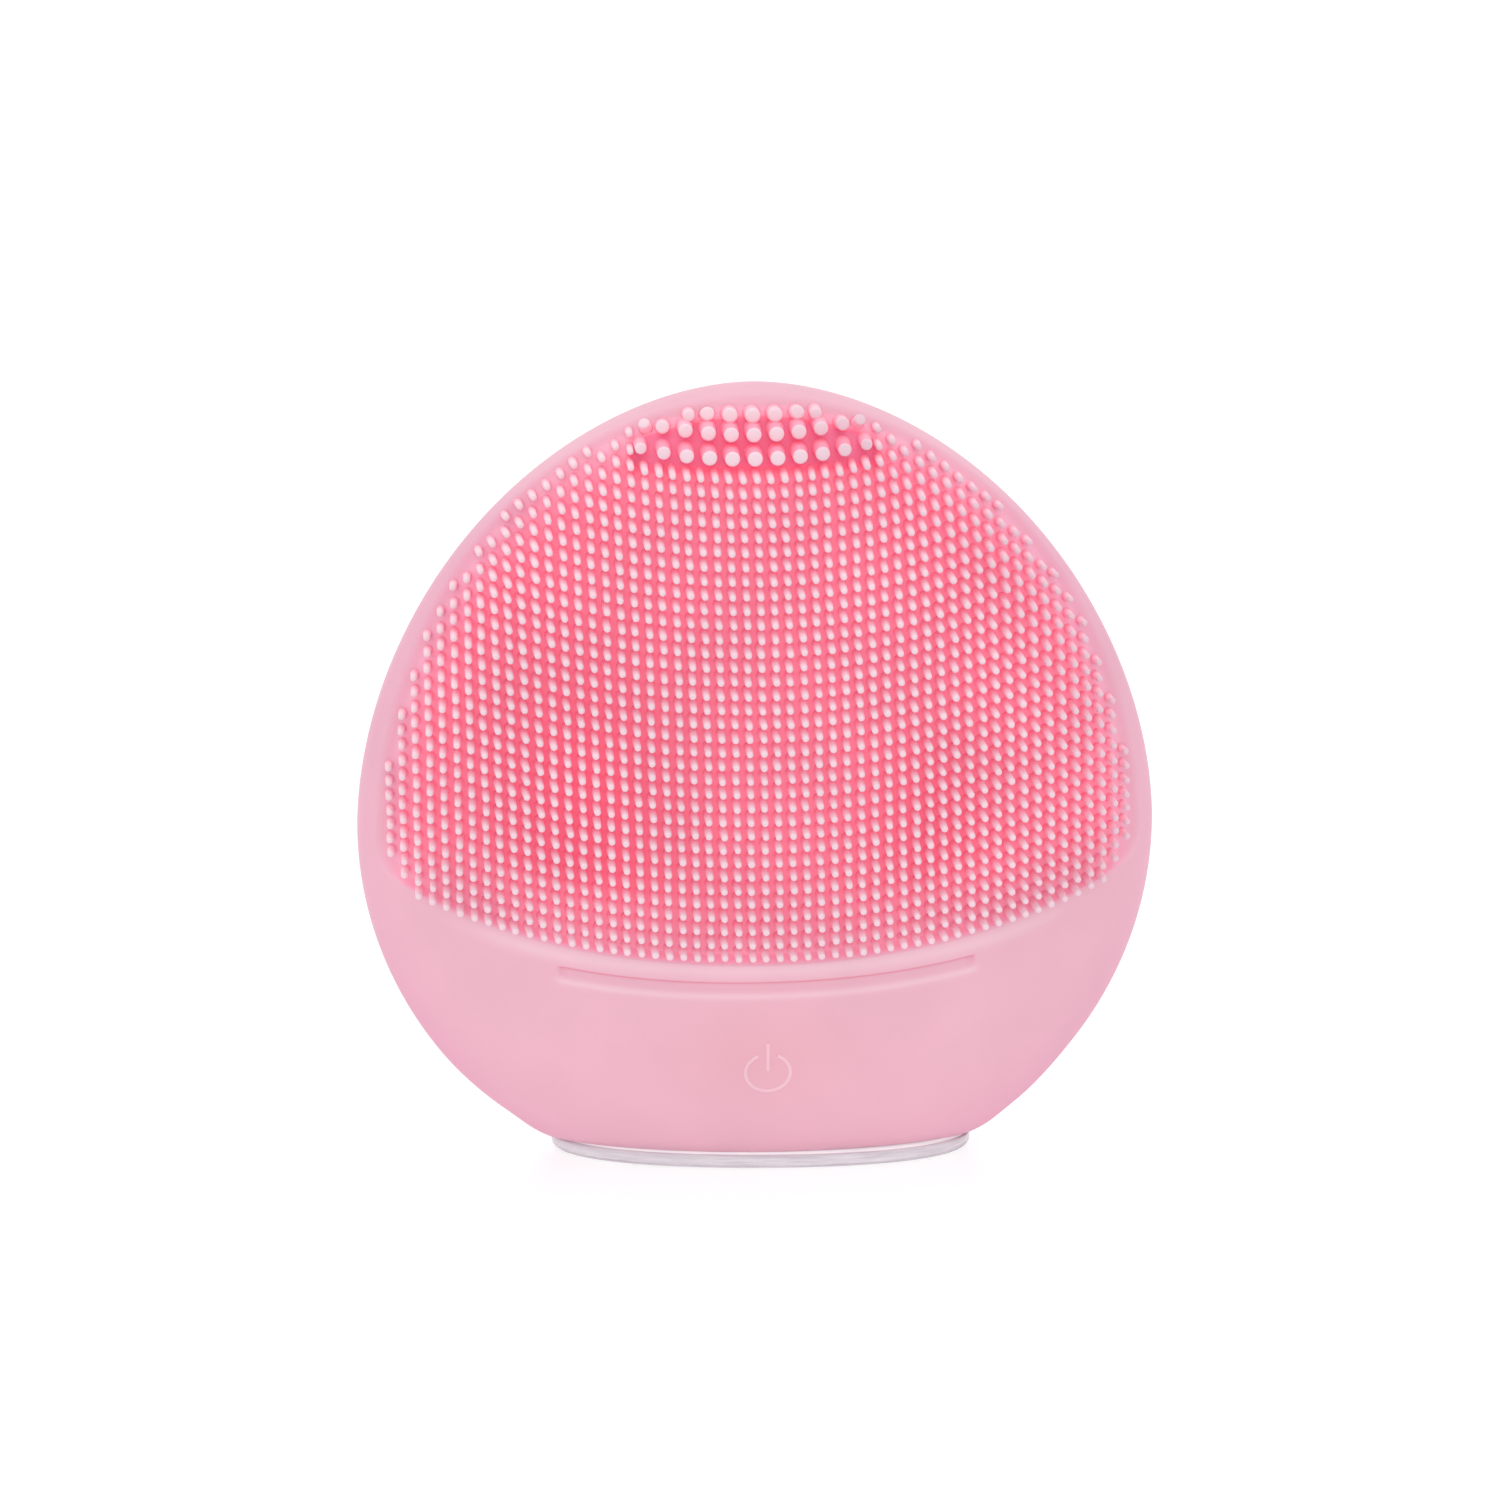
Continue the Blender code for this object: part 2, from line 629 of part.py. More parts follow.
def make_board():
    span = BOARD_HIGH - BOARD_LOW
    centre = (0.0, 0.5 * (BOARD_LOW + BOARD_HIGH), -BOARD_DEPTH - 0.5 * BOARD_THICKNESS)
    board = add_box("circuit_board", (BOARD_WIDTH, span, BOARD_THICKNESS), centre, "board_green", BUTTON)
    combine(board, add_cylinders("board_holes", PILOT_HOLE, -12.0 * MM, -8.0 * MM, board_posts()))
    return board


def make_board_parts():
    """What is soldered on the board: the switch and lamp face the skin, the rest the back."""
    front = -BOARD_DEPTH + GAP
    back = -BOARD_DEPTH - BOARD_THICKNESS - GAP
    switch = add_box("tact_switch", (5.2 * MM, 5.2 * MM, 2.0 * MM), (0.0, 0.0, front + 1.0 * MM),
                     "chip_black", BUTTON)
    well_floor = STEM_END - BUTTON_TRAVEL - 0.2 * MM
    well = add_cylinders("switch_well", STEM_RADIUS + GAP, well_floor, -5.0 * MM, [BUTTON], segments=16)
    combine(switch, well)
    lamp = add_box("status_led", (1.6 * MM, 0.8 * MM, 0.7 * MM), (4.4 * MM, 0.0, front + 0.35 * MM),
                   "lens_white", BUTTON)
    controller = add_box("controller_chip", (5.0 * MM, 4.0 * MM, 1.2 * MM),
                         (-6.0 * MM, 9.0 * MM, back - 0.6 * MM), "chip_black", BUTTON)
    charger = add_box("charger_chip", (3.0 * MM, 3.0 * MM, 1.0 * MM),
                      (1.0 * MM, 9.0 * MM, back - 0.5 * MM), "chip_black", BUTTON)
    socket = add_box("battery_connector", (5.0 * MM, 3.4 * MM, 2.4 * MM),
                     (9.0 * MM, 6.0 * MM, back - 1.2 * MM), "lens_white", BUTTON, bevel=0.25 * MM)
    return [switch, lamp, controller, charger, socket]


# ---------------------------------------------------------------- power and motor

def make_battery():
    centre = BATTERY_CENTRE + Vector((0.0, 0.0, FOOT_Z))
    battery = add_box("battery", BATTERY_SIZE, centre, "battery_foil", bevel=1.2 * MM)
    pad_at = centre + Vector((0.0, 0.5 * BATTERY_SIZE.y + GAP + 0.4 * MM, 0.0))
    pad = add_box("battery_pad", (24.0 * MM, 0.8 * MM, 16.0 * MM), pad_at, "foam")
    return [battery, pad]


def make_jack():
    place = looking_back(0.0, JACK_AT)
    jack = add_box("charging_jack", (7.0 * MM, 6.4 * MM, JACK_SHOULDER - 2.5 * MM),
                   (0.0, 0.0, 0.5 * (JACK_SHOULDER + 2.5 * MM)), "chip_black", place)
    nose = add_cylinders("jack_nose", JACK_NOSE_RADIUS, JACK_SHOULDER - 1.0 * MM, JACK_NOSE_END, [place])
    combine(jack, nose, "UNION")
    combine(jack, add_cylinders("jack_bore", JACK_BORE, 4.5 * MM, 14.0 * MM, [place]))
    pin = add_turned("jack_pin", [
        (0.0, 11.4 * MM),
        (0.3 * MM, 11.3 * MM),
        (0.4 * MM, 11.0 * MM),
        (0.4 * MM, 4.8 * MM),
        (0.0, 4.8 * MM),
    ], "steel", place, steps=12)
    gasket = add_turned("jack_seal", [
        (3.8 * MM, JACK_SHOULDER + 0.8 * MM),
        (3.8 * MM, JACK_SHOULDER + 0.3 * MM),
        (JACK_NOSE_RADIUS + GAP, JACK_SHOULDER + 0.3 * MM),
        (JACK_NOSE_RADIUS + GAP, JACK_SHOULDER + 0.8 * MM),
    ], "seal_rubber", place)
    return [jack, pin, gasket]


def make_motor_case():
    """The pieces of the motor that stand still; heights run along the motor's axis."""
    bore = MOTOR_RADIUS - 0.7 * MM
    can = add_turned("motor_can", [
        (SHAFT_BORE, MOTOR_RIGHT),
        (MOTOR_RADIUS - 0.4 * MM, MOTOR_RIGHT),
        (MOTOR_RADIUS, MOTOR_RIGHT - 0.4 * MM),
        (MOTOR_RADIUS, MOTOR_LEFT),
        (bore, MOTOR_LEFT),
        (bore, MOTOR_RIGHT - 0.7 * MM),
        (SHAFT_BORE, MOTOR_RIGHT - 0.7 * MM),
    ], "motor_steel", MOTOR, steps=28)
    cap = add_turned("motor_end_cap", [
        (SHAFT_BORE, -6.2 * MM),
        (bore - GAP, -6.2 * MM),
        (bore - GAP, MOTOR_LEFT),
        (SHAFT_BORE, MOTOR_LEFT),
    ], "white_abs", MOTOR)
    magnet = add_turned("motor_magnet", [
        (bore - GAP, 4.5 * MM),
        (bore - GAP, -4.5 * MM),
        (3.9 * MM, -4.5 * MM),
        (3.9 * MM, 4.5 * MM),
    ], "ferrite", MOTOR)
    damper = add_turned("motor_damper", [
        (DAMPER_RADIUS, 4.0 * MM),
        (DAMPER_RADIUS, -6.0 * MM),
        (MOTOR_RADIUS + GAP, -6.0 * MM),
        (MOTOR_RADIUS + GAP, 4.0 * MM),
    ], "seal_rubber", MOTOR, steps=28)
    return [can, cap, magnet, damper]


def make_rotor():
    """The pieces of the motor that turn: the shaft, the armature and the weight."""
    shaft = add_turned("motor_shaft", [
        (0.0, 13.4 * MM),
        (SHAFT_RADIUS, 13.4 * MM),
        (SHAFT_RADIUS, -7.4 * MM),
        (0.0, -7.4 * MM),
    ], "steel", MOTOR, steps=12)
    armature = add_turned("motor_armature", [
        (2.2 * MM, 4.2 * MM),
        (3.5 * MM, 3.6 * MM),
        (3.5 * MM, -3.6 * MM),
        (2.2 * MM, -4.6 * MM),
        (SHAFT_BORE, -4.6 * MM),
        (SHAFT_BORE, 4.2 * MM),
    ], "copper", MOTOR)
    weight = add_turned("eccentric_weight", [
        (5.0 * MM, 12.6 * MM),
        (5.0 * MM, 8.2 * MM),
        (SHAFT_BORE, 8.2 * MM),
        (SHAFT_BORE, 12.6 * MM),
    ], "tungsten", MOTOR)
    upper_side = add_box("weight_cutter", (6.0 * MM, 12.0 * MM, 8.0 * MM),
                         (-4.6 * MM, 0.0, 10.4 * MM), None, MOTOR)
    combine(weight, upper_side)
    return [shaft, armature, weight]


def make_clamp():
    """The clamp that closes the motor's seat from the front."""
    middle = 0.5 * (SEAT_LEFT + SEAT_RIGHT)
    width = SEAT_RIGHT - SEAT_LEFT
    clamp = add_box("motor_clamp", (width, CLAMP_EAR - BOSS_FACE, 2.0 * CLAMP_HALF_HEIGHT),
                    (middle, -0.5 * (CLAMP_EAR + BOSS_FACE), FOOT_Z + MOTOR_AT), "white_abs")
    arch = add_cylinders("clamp_arch", SEAT_RADIUS + 1.5 * MM, SEAT_LEFT, SEAT_RIGHT, [MOTOR], segments=28)
    rear = add_box("clamp_rear", (0.03, 0.02, 0.03), (0.0, 0.01 - BOSS_FACE, FOOT_Z + MOTOR_AT))
    combine(clamp, arch, "UNION")
    combine(clamp, rear)
    combine(clamp, bpy.data.objects["seat_bore"])
    combine(clamp, add_cylinders("clamp_holes", 1.0 * MM, -6.0 * MM, 1.0 * MM, clamp_screw_places()))
    combine(clamp, body_form("clamp_limit", HOUSING_INSIDE + GAP), "INTERSECT")
    return clamp


# Where the leads run, in millimetres from the middle of the brush's foot
WIRE_ROUTES = {
    "motor_wire_red": ((-8.6, -2.6, 57.5), (-11.0, -3.2, 56.6), (-13.4, -5.2, 50.0), (-13.4, -7.6, 40.0),
                       (-9.0, -9.9, 28.6)),
    "motor_wire_black": ((-8.6, -2.6, 54.5), (-10.4, -3.0, 53.4), (-11.6, -5.0, 47.0), (-11.4, -7.6, 38.0),
                         (-7.0, -9.9, 28.6)),
    "battery_wire_red": ((8.0, -3.1, 19.5), (8.2, -1.8, 19.9), (8.8, 1.4, 19.2), (9.2, 5.2, 18.6),
                         (9.2, 7.2, 20.7)),
    "battery_wire_black": ((10.2, -3.1, 19.5), (10.4, -1.8, 19.9), (11.0, 1.4, 19.2), (11.4, 5.2, 18.6),
                           (11.4, 7.2, 20.7)),
    "jack_wire_red": ((-1.6, 2.1, 14.6), (-2.2, 0.6, 15.0), (-3.4, -1.2, 14.6), (-4.4, -3.0, 13.6)),
    "jack_wire_black": ((1.6, 2.1, 14.6), (2.2, 0.6, 15.0), (3.4, -1.2, 14.6), (4.4, -3.0, 13.6)),
}


def make_wires():
    """Short leads between the board and the motor, the battery and the jack."""
    wires = []
    for name, route in WIRE_ROUTES.items():
        path = [point + Vector((0.0, 0.0, FOOT_Z)) for point in smooth_path(route, steps=2)]
        wires.append(add_tube(name, path, WIRE_RADIUS, name.split("_", 1)[1]))
    return wires


# ---------------------------------------------------------------- assembly

def add_joint_empty(name, place, parent=None):
    """An empty on a joint's axis, which the moving pieces hang on."""
    empty = bpy.data.objects.new(name, None)
    empty.empty_display_size = 0.01
    PARTS.objects.link(empty)
    empty.matrix_world = place
    if parent:
        hang(empty, parent)
    return empty


def hang(item, parent):
    """Parent an item and keep it where it is."""
    bpy.context.view_layer.update()
    item.parent = parent
    item.matrix_parent_inverse = parent.matrix_world.inverted()


def build():
    make_stand()
    lift = add_joint_empty("brush_lift_axis", Matrix.Translation((0.0, 0.0, FOOT_Z)))
    button_axis = add_joint_empty("power_button_axis", BUTTON, lift)
    motor_axis = add_joint_empty("motor_spin_axis", MOTOR, lift)
    still = [
        make_sleeve(),
        make_bristle_field("fine_bristle_field", field_outline(FIELD_CLEARANCE, notch=True)),
        make_bristle_field("thick_bristle_field", thick_outline(FIELD_CLEARANCE)),
        make_front_housing(),
        make_rear_housing(),
        make_seal(),
        make_board(),
        make_clamp(),
    ]
    still += make_screws() + make_board_parts() + make_battery() + make_jack()
    still += make_motor_case() + make_wires()
    for item in still:
        hang(item, lift)
    for item in make_button():
        hang(item, button_axis)
    for item in make_rotor():
        hang(item, motor_axis)


build()
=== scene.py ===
"""Looks of the facial cleansing brush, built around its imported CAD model.

The silicone skin, its bristles and the clear stand are modelled finely here, from the same
form as the CAD.  The pieces inside are the CAD's own, with better materials.
Lengths are in millimetres until a mesh is made; heights are measured from the brush's foot.
"""

import json
import math
import bmesh
import bpy
import numpy as np
from mathutils import Matrix, Vector


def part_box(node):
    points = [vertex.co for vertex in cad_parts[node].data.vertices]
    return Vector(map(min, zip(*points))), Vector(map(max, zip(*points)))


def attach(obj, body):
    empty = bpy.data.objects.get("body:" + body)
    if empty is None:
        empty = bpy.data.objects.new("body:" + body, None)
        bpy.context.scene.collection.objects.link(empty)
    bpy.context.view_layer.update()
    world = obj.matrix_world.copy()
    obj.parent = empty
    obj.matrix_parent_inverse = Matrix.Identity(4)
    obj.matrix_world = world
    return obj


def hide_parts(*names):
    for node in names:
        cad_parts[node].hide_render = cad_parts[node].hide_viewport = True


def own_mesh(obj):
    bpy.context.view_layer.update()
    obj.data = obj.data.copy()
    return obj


MM = 0.001                          # metres in a millimetre
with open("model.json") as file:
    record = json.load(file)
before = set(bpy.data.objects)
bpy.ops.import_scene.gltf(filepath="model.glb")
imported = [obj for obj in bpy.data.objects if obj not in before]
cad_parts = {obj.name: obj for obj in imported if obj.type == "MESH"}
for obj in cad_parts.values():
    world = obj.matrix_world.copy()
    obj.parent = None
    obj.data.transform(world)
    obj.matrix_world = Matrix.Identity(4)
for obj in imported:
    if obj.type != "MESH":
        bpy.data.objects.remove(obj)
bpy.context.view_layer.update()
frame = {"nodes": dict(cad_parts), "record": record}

# The body's form, as in the CAD
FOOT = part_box("front_housing")[0].z / MM - 2.1
BODY_HEIGHT = 76.5
BODY_HALF_WIDTH = 40.0
WIDEST_AT = 31.8
CROWN_POWER = 1.85
LOWER_RADIUS = 38.3
BODY_HALF_DEPTH = 16.5
DEEPEST_AT = 26.0
LOWER_DEPTH_RADIUS = 30.6
SECTION_POWER = 2.2
SLEEVE_WALL = 1.8
FOOT_ROUNDING = 1.3
FOOT_TAPER = 0.35                   # how much the foot draws in above its rounding
FOOT_REACH = 0.28                   # how far the foot comes down to the stand
FOOT_TWIST = 0.05                   # the foot follows the stand's turn a little

# The sunken field on the front
FIELD_HALF_WIDTH = 37.7
FIELD_TOP = 75.3
FIELD_BOTTOM = 21.65
FIELD_RECESS = 0.8
FIELD_FILLET = 1.1
FIELD_CORNER = 3.0                  # over which its sides round into its lower edge
FIELD_EDGE_BEND = 0.0049            # rise of its lower edge towards the sides
FIELD_EDGE_END_BEND = 5e-7          # and its extra rise near the corners
BORDER_FADE = 4.4                   # over which the field deepens in colour from its sides
CROWN_FADE = 1.6                    # and the same at its crown
PLAIN_TINT = 0.12                   # of the skin outside the field

# The groove below the field
GROOVE_HALF_LENGTH = 20.3
GROOVE_X = 0.2
GROOVE_TOP_AT = 19.35               # height of its sharp upper edge on the middle line
GROOVE_BEND = 0.0037                # rise of that edge towards the sides
GROOVE_END_BEND = 1.2e-6            # and its extra rise near its ends
GROOVE_FLAT = 0.55                  # width of its flat bottom
GROOVE_WIDTH = 1.7
GROOVE_DEPTH = 0.34

# Bristles: a level lattice whose rows curve up towards the sides
COLUMN_PITCH = 1.355
ROW_PITCH = 1.356
FIRST_ROW_AT = 68.36
ROWS = 35
BORDER_CLEARANCE = 0.42
LAST_ROWS = {-2: 9, -1: 11, 33: 26, 34: 25}     # furthest column of the first and last rows
BRISTLE_PROUD = 2.0
ROOT_SINK = 0.3                     # how far the roots reach below the field's floor
FURTHEST_COLUMN = 27
FINE_RADIUS = 0.34
THICK_PITCH = 2.21
THICK_RADIUS = 0.75
# Each row of thick bristles: height, bend, furthest column, pull and droop of its last ones
THICK_ROWS = ((70.36, 0.0068, 5, 0.0, 0.0), (72.44, 0.0078, 5, 0.4, 0.0), (74.05, 0.011, 3, 0.4, 0.45))
THICK_SHIFT = -0.12                 # of their middle column to the left

# The power button
BUTTON_AT = 9.6
CAP_HEIGHT = 0.45
SYMBOL_RADIUS = 2.22
SYMBOL_LINE = 0.24
SYMBOL_SINK = 0.6                   # share of the line's radius that its middle lies deep
SYMBOL_X = 0.2
SYMBOL_GAP = math.radians(24.5)     # half of the ring's opening at the top

JACK_AT = 14.0
PORT_RADIUS = 1.7
SHARP_ANGLE = math.radians(50)      # edges of the port that stay sharp

# The stand
STAND_HEIGHT = 1.6
STAND_RIM = 21.3
STAND_FLATNESS = 0.45
STAND_X = 0.1
STAND_LIT = 1.2                     # width of its rim that carries a painted highlight
STAND_TURN = math.radians(-5.0)     # it stands slightly askew under the brush

# Where the camera stands
CAMERA_AZIMUTH = math.radians(-2.97)
CAMERA_ELEVATION = math.radians(12.62)
CAMERA_ROLL = math.radians(-0.684)
CAMERA_DISTANCE = 0.55
CAMERA_AIM = Vector((-0.00048, 0.0, 0.0411))
CAMERA_LENS = 131.6

RANDOM = np.random.default_rng(11)


# ---------------------------------------------------------------- the form

def half_width(z):
    share = np.clip((z - WIDEST_AT) / (BODY_HEIGHT - WIDEST_AT), 0.0, 1.0)
    crown = (1.0 - share ** CROWN_POWER) ** (1.0 / CROWN_POWER)
    below = np.clip((WIDEST_AT - z) / LOWER_RADIUS, 0.0, 0.999)
    return BODY_HALF_WIDTH * crown * np.sqrt(1.0 - below ** 2)


def half_depth(z):
    share = np.clip((z - DEEPEST_AT) / (BODY_HEIGHT - DEEPEST_AT), 0.0, 1.0)
    below = np.clip((DEEPEST_AT - z) / LOWER_DEPTH_RADIUS, 0.0, 0.999)
    return BODY_HALF_DEPTH * np.sqrt(1.0 - share ** 2) * np.sqrt(1.0 - below ** 2)


def skin_depth(x, z):
    """Distance of the skin from the brush's middle plane."""
    share = np.clip(np.abs(x) / np.maximum(half_width(z), 1e-6), 0.0, 1.0)
    return half_depth(z) * (1.0 - share ** SECTION_POWER) ** (1.0 / SECTION_POWER)


def smooth(value):
    value = np.clip(value, 0.0, 1.0)
    return value * value * (3.0 - 2.0 * value)


def hill(value, middle, width):
    """One at the middle, falling away smoothly on both sides."""
    return np.exp(-((value - middle) / width) ** 2)


def superellipse(turns):
    """Points of the unit section, by their turn from its right end."""
    power = 2.0 / SECTION_POWER
    x = np.sign(np.cos(turns)) * np.abs(np.cos(turns)) ** power
    y = np.sign(np.sin(turns)) * np.abs(np.sin(turns)) ** power
    return x, y


def field_floor(x):
    """Height of the field's lower edge over x."""
    return FIELD_BOTTOM + FIELD_EDGE_BEND * x ** 2 + FIELD_EDGE_END_BEND * x ** 4


def inside_oval(x, z):
    """Distance inside the oval that bounds the field at the sides and above."""
    tall = np.where(z > WIDEST_AT, FIELD_TOP - WIDEST_AT, LOWER_RADIUS - 1.6)
    across, up = x / FIELD_HALF_WIDTH, (z - WIDEST_AT) / tall
    reach = np.maximum(np.hypot(across, up), 1e-6)
    slope = np.hypot(across / FIELD_HALF_WIDTH, up / tall) / reach
    return (1.0 - reach) / np.maximum(slope, 1e-6)


def above_edge(x, z):
    """Distance above the field's lower edge."""
    return (z - field_floor(x)) / np.sqrt(1.0 + (2.0 * FIELD_EDGE_BEND * x) ** 2)


def inside_field(x, z):
    """Distance inside the field's border, seen from the front; negative outside."""
    side, lower = inside_oval(x, z), above_edge(x, z)
    meet = np.clip(0.5 + 0.5 * (side - lower) / FIELD_CORNER, 0.0, 1.0)
    return side + (lower - side) * meet - FIELD_CORNER * meet * (1.0 - meet)


def relief(x, z, facing):
    """How deep the front is pressed in, by the field's recess and the groove."""
    inside = inside_field(x, z) / np.maximum(facing, 0.25)
    recess = FIELD_RECESS * smooth(0.5 + inside / FIELD_FILLET)
    below = groove_drop(x, z)
    wall = smooth(0.5 + below / 0.16)
    slope = 1.0 - smooth((below - GROOVE_FLAT) / (GROOVE_WIDTH - GROOVE_FLAT))
    return recess + GROOVE_DEPTH * wall * slope * groove_end(x, below)


def groove_drop(x, z):
    """Distance below the groove's sharp upper edge."""
    slope = 2.0 * GROOVE_BEND * x + 4.0 * GROOVE_END_BEND * x ** 3
    edge = GROOVE_TOP_AT + GROOVE_BEND * x ** 2 + GROOVE_END_BEND * x ** 4
    return (edge - z) / np.sqrt(1.0 + slope ** 2)


def groove_end(x, drop):
    """One along the groove, falling to nothing around its rounded ends."""
    rounding = 0.5 * np.clip(np.abs(drop - 0.6) / 0.7, 0.0, 1.0) ** 2
    return 1.0 - smooth((np.abs(x - GROOVE_X) + rounding - GROOVE_HALF_LENGTH + 0.2) / 0.4)


def crease_shadow(x, z):
    """How close a point is to the groove's upper edge or its ends, from 0 to 1; a painted shadow follows
    it.
    """
    drop = groove_drop(x, z)
    past = np.abs(x - GROOVE_X) - GROOVE_HALF_LENGTH
    edge = hill(drop, 0.03, 0.13) * (past < 0.1)
    end = 0.7 * hill(past, -0.05, 0.28) * smooth(drop / 0.1) * (1.0 - smooth(drop / 1.1))
    return np.maximum(edge, end)


def skin_tint(x, z):
    """Tint of the front skin: 0 pale, PLAIN_TINT plain, near 0.8 in the field, 1 at its crown."""
    crown = smooth((z - 68.3) / 1.4) * smooth((13.8 - np.abs(x)) / 2.5)
    fade = BORDER_FADE + (CROWN_FADE - BORDER_FADE) * crown
    inside = smooth((inside_oval(x, z) + 0.35 - 0.75 * crown) / fade)
    above = above_edge(x, z)
    inside = inside * smooth(0.85 + above / 0.8) * (0.64 + 0.36 * smooth(above / 7.5))
    drop = groove_drop(x, z)
    along = 1.0 - smooth((np.abs(x - GROOVE_X) - 20.0) / 1.5)
    # Painted highlight: the groove's lower wall, which catches the light, is made paler; band is a paler
    # strip above the groove, palest in the middle.
    lip_highlight = hill(drop, 1.42, 0.38) * along
    band = hill(drop, -1.25, 0.8) * (1.0 - smooth((np.abs(x) - 22.0) / 14.0))
    plain = PLAIN_TINT - PLAIN_TINT * np.minimum(lip_highlight + band, 1.0)
    left = hill(x, -17.5, 10.5) * hill(z, 35.0, 19.0)
    right = hill(x, 16.5, 7.0) * hill(z, 34.0, 10.0)
    middle = 0.77 + 0.11 * left + 0.09 * right
    return plain * (1.0 - inside) + (middle + 0.23 * crown) * inside


# ---------------------------------------------------------------- making meshes

def add_object(name, data):
    item = bpy.data.objects.new(name, data)
    bpy.context.scene.collection.objects.link(item)
    return item


def make_mesh(name, points, faces, smooth_shading=True):
    """A mesh object from points in millimetres above the brush's foot."""
    mesh = bpy.data.meshes.new(name)
    mesh.from_pydata((np.asarray(points, float) * MM).tolist(), [], faces)
    mesh.polygons.foreach_set("use_smooth", [smooth_shading] * len(mesh.polygons))
    mesh.update()
    return add_object(name, mesh)


def grid_faces(rows, columns, start=0, closed=True, flip=False):
    """Quads between neighbouring rows of a grid of points."""
    faces = []
    for row in range(rows - 1):
        for column in range(columns if closed else columns - 1):
            beside = (column + 1) % columns
            a, b = start + row * columns + column, start + row * columns + beside
            c, d = b + columns, a + columns
            faces.append((a, d, c, b) if flip else (a, b, c, d))
    return faces


def apply_modifiers(item):
    graph = bpy.context.evaluated_depsgraph_get()
    mesh = bpy.data.meshes.new_from_object(item.evaluated_get(graph))
    item.modifiers.clear()
    item.data = mesh


def section_steps(count):
    """Steps around a level section from its right end, twice as close along the front."""
    turn = np.linspace(0.0, 2.0 * math.pi, 20001)
    x, y = superellipse(turn)
    finer = np.where(y[1:] < 0.0, 2.0, 1.0)
    run = np.concatenate(([0.0], np.cumsum(finer * np.hypot(np.diff(x) * 2.2, np.diff(y)))))
    picks = np.interp(np.linspace(0.0, run[-1], count + 1)[:-1], run, turn)
    return superellipse(picks)[0], np.where(np.sin(picks) < 0.0, -1.0, 1.0)


def ring_levels():
    """Heights of the skin's rings on the middle line: close together at fine detail."""
    stretches = ((0.0, 1.6, 7), (1.6, 17.2, 32), (17.2, 18.6, 10), (18.6, 19.6, 20),
                 (19.6, 20.8, 8), (20.8, 22.6, 20), (22.6, 24.0, 8), (24.0, 70.0, 88))
    levels = [np.linspace(low, high, count, endpoint=False) for low, high, count in stretches]
    crown = BODY_HEIGHT - (BODY_HEIGHT - 70.0) * np.cos(np.linspace(0.0, 0.49 * math.pi, 22)) ** 2
    return np.concatenate(levels + [crown])


def lift(level):
    """How far a ring rises at the sides, so that rings run along the field's lower edge."""
    rise = smooth(level / 20.0)
    fall = 1.0 - smooth((level - 30.0) / 46.0)
    return 7.8 * rise * fall


def skin_grid(levels, columns, inset=0.0):
    """Points of the body's surface, as rings of columns, and their outward normals."""
    unit, side = section_steps(columns)
    level = levels[:, None]
    reach = half_width(level)
    for _ in range(12):
        reach = half_width(level + lift(level) * (reach / BODY_HALF_WIDTH) ** 2)
    x = reach * unit[None, :]
    z = level + lift(level) * (x / BODY_HALF_WIDTH) ** 2
    y = side[None, :] * skin_depth(x, z)
    y[:, np.abs(np.abs(unit) - 1.0) < 1e-9] = 0.0
    points = np.stack([x, y, z], axis=2)
    around = np.roll(points, -1, axis=1) - np.roll(points, 1, axis=1)
    upward = np.gradient(points, axis=0)
    normals = np.cross(around, upward)
    normals /= np.maximum(np.linalg.norm(normals, axis=2, keepdims=True), 1e-9)
    return points - inset * normals, normals


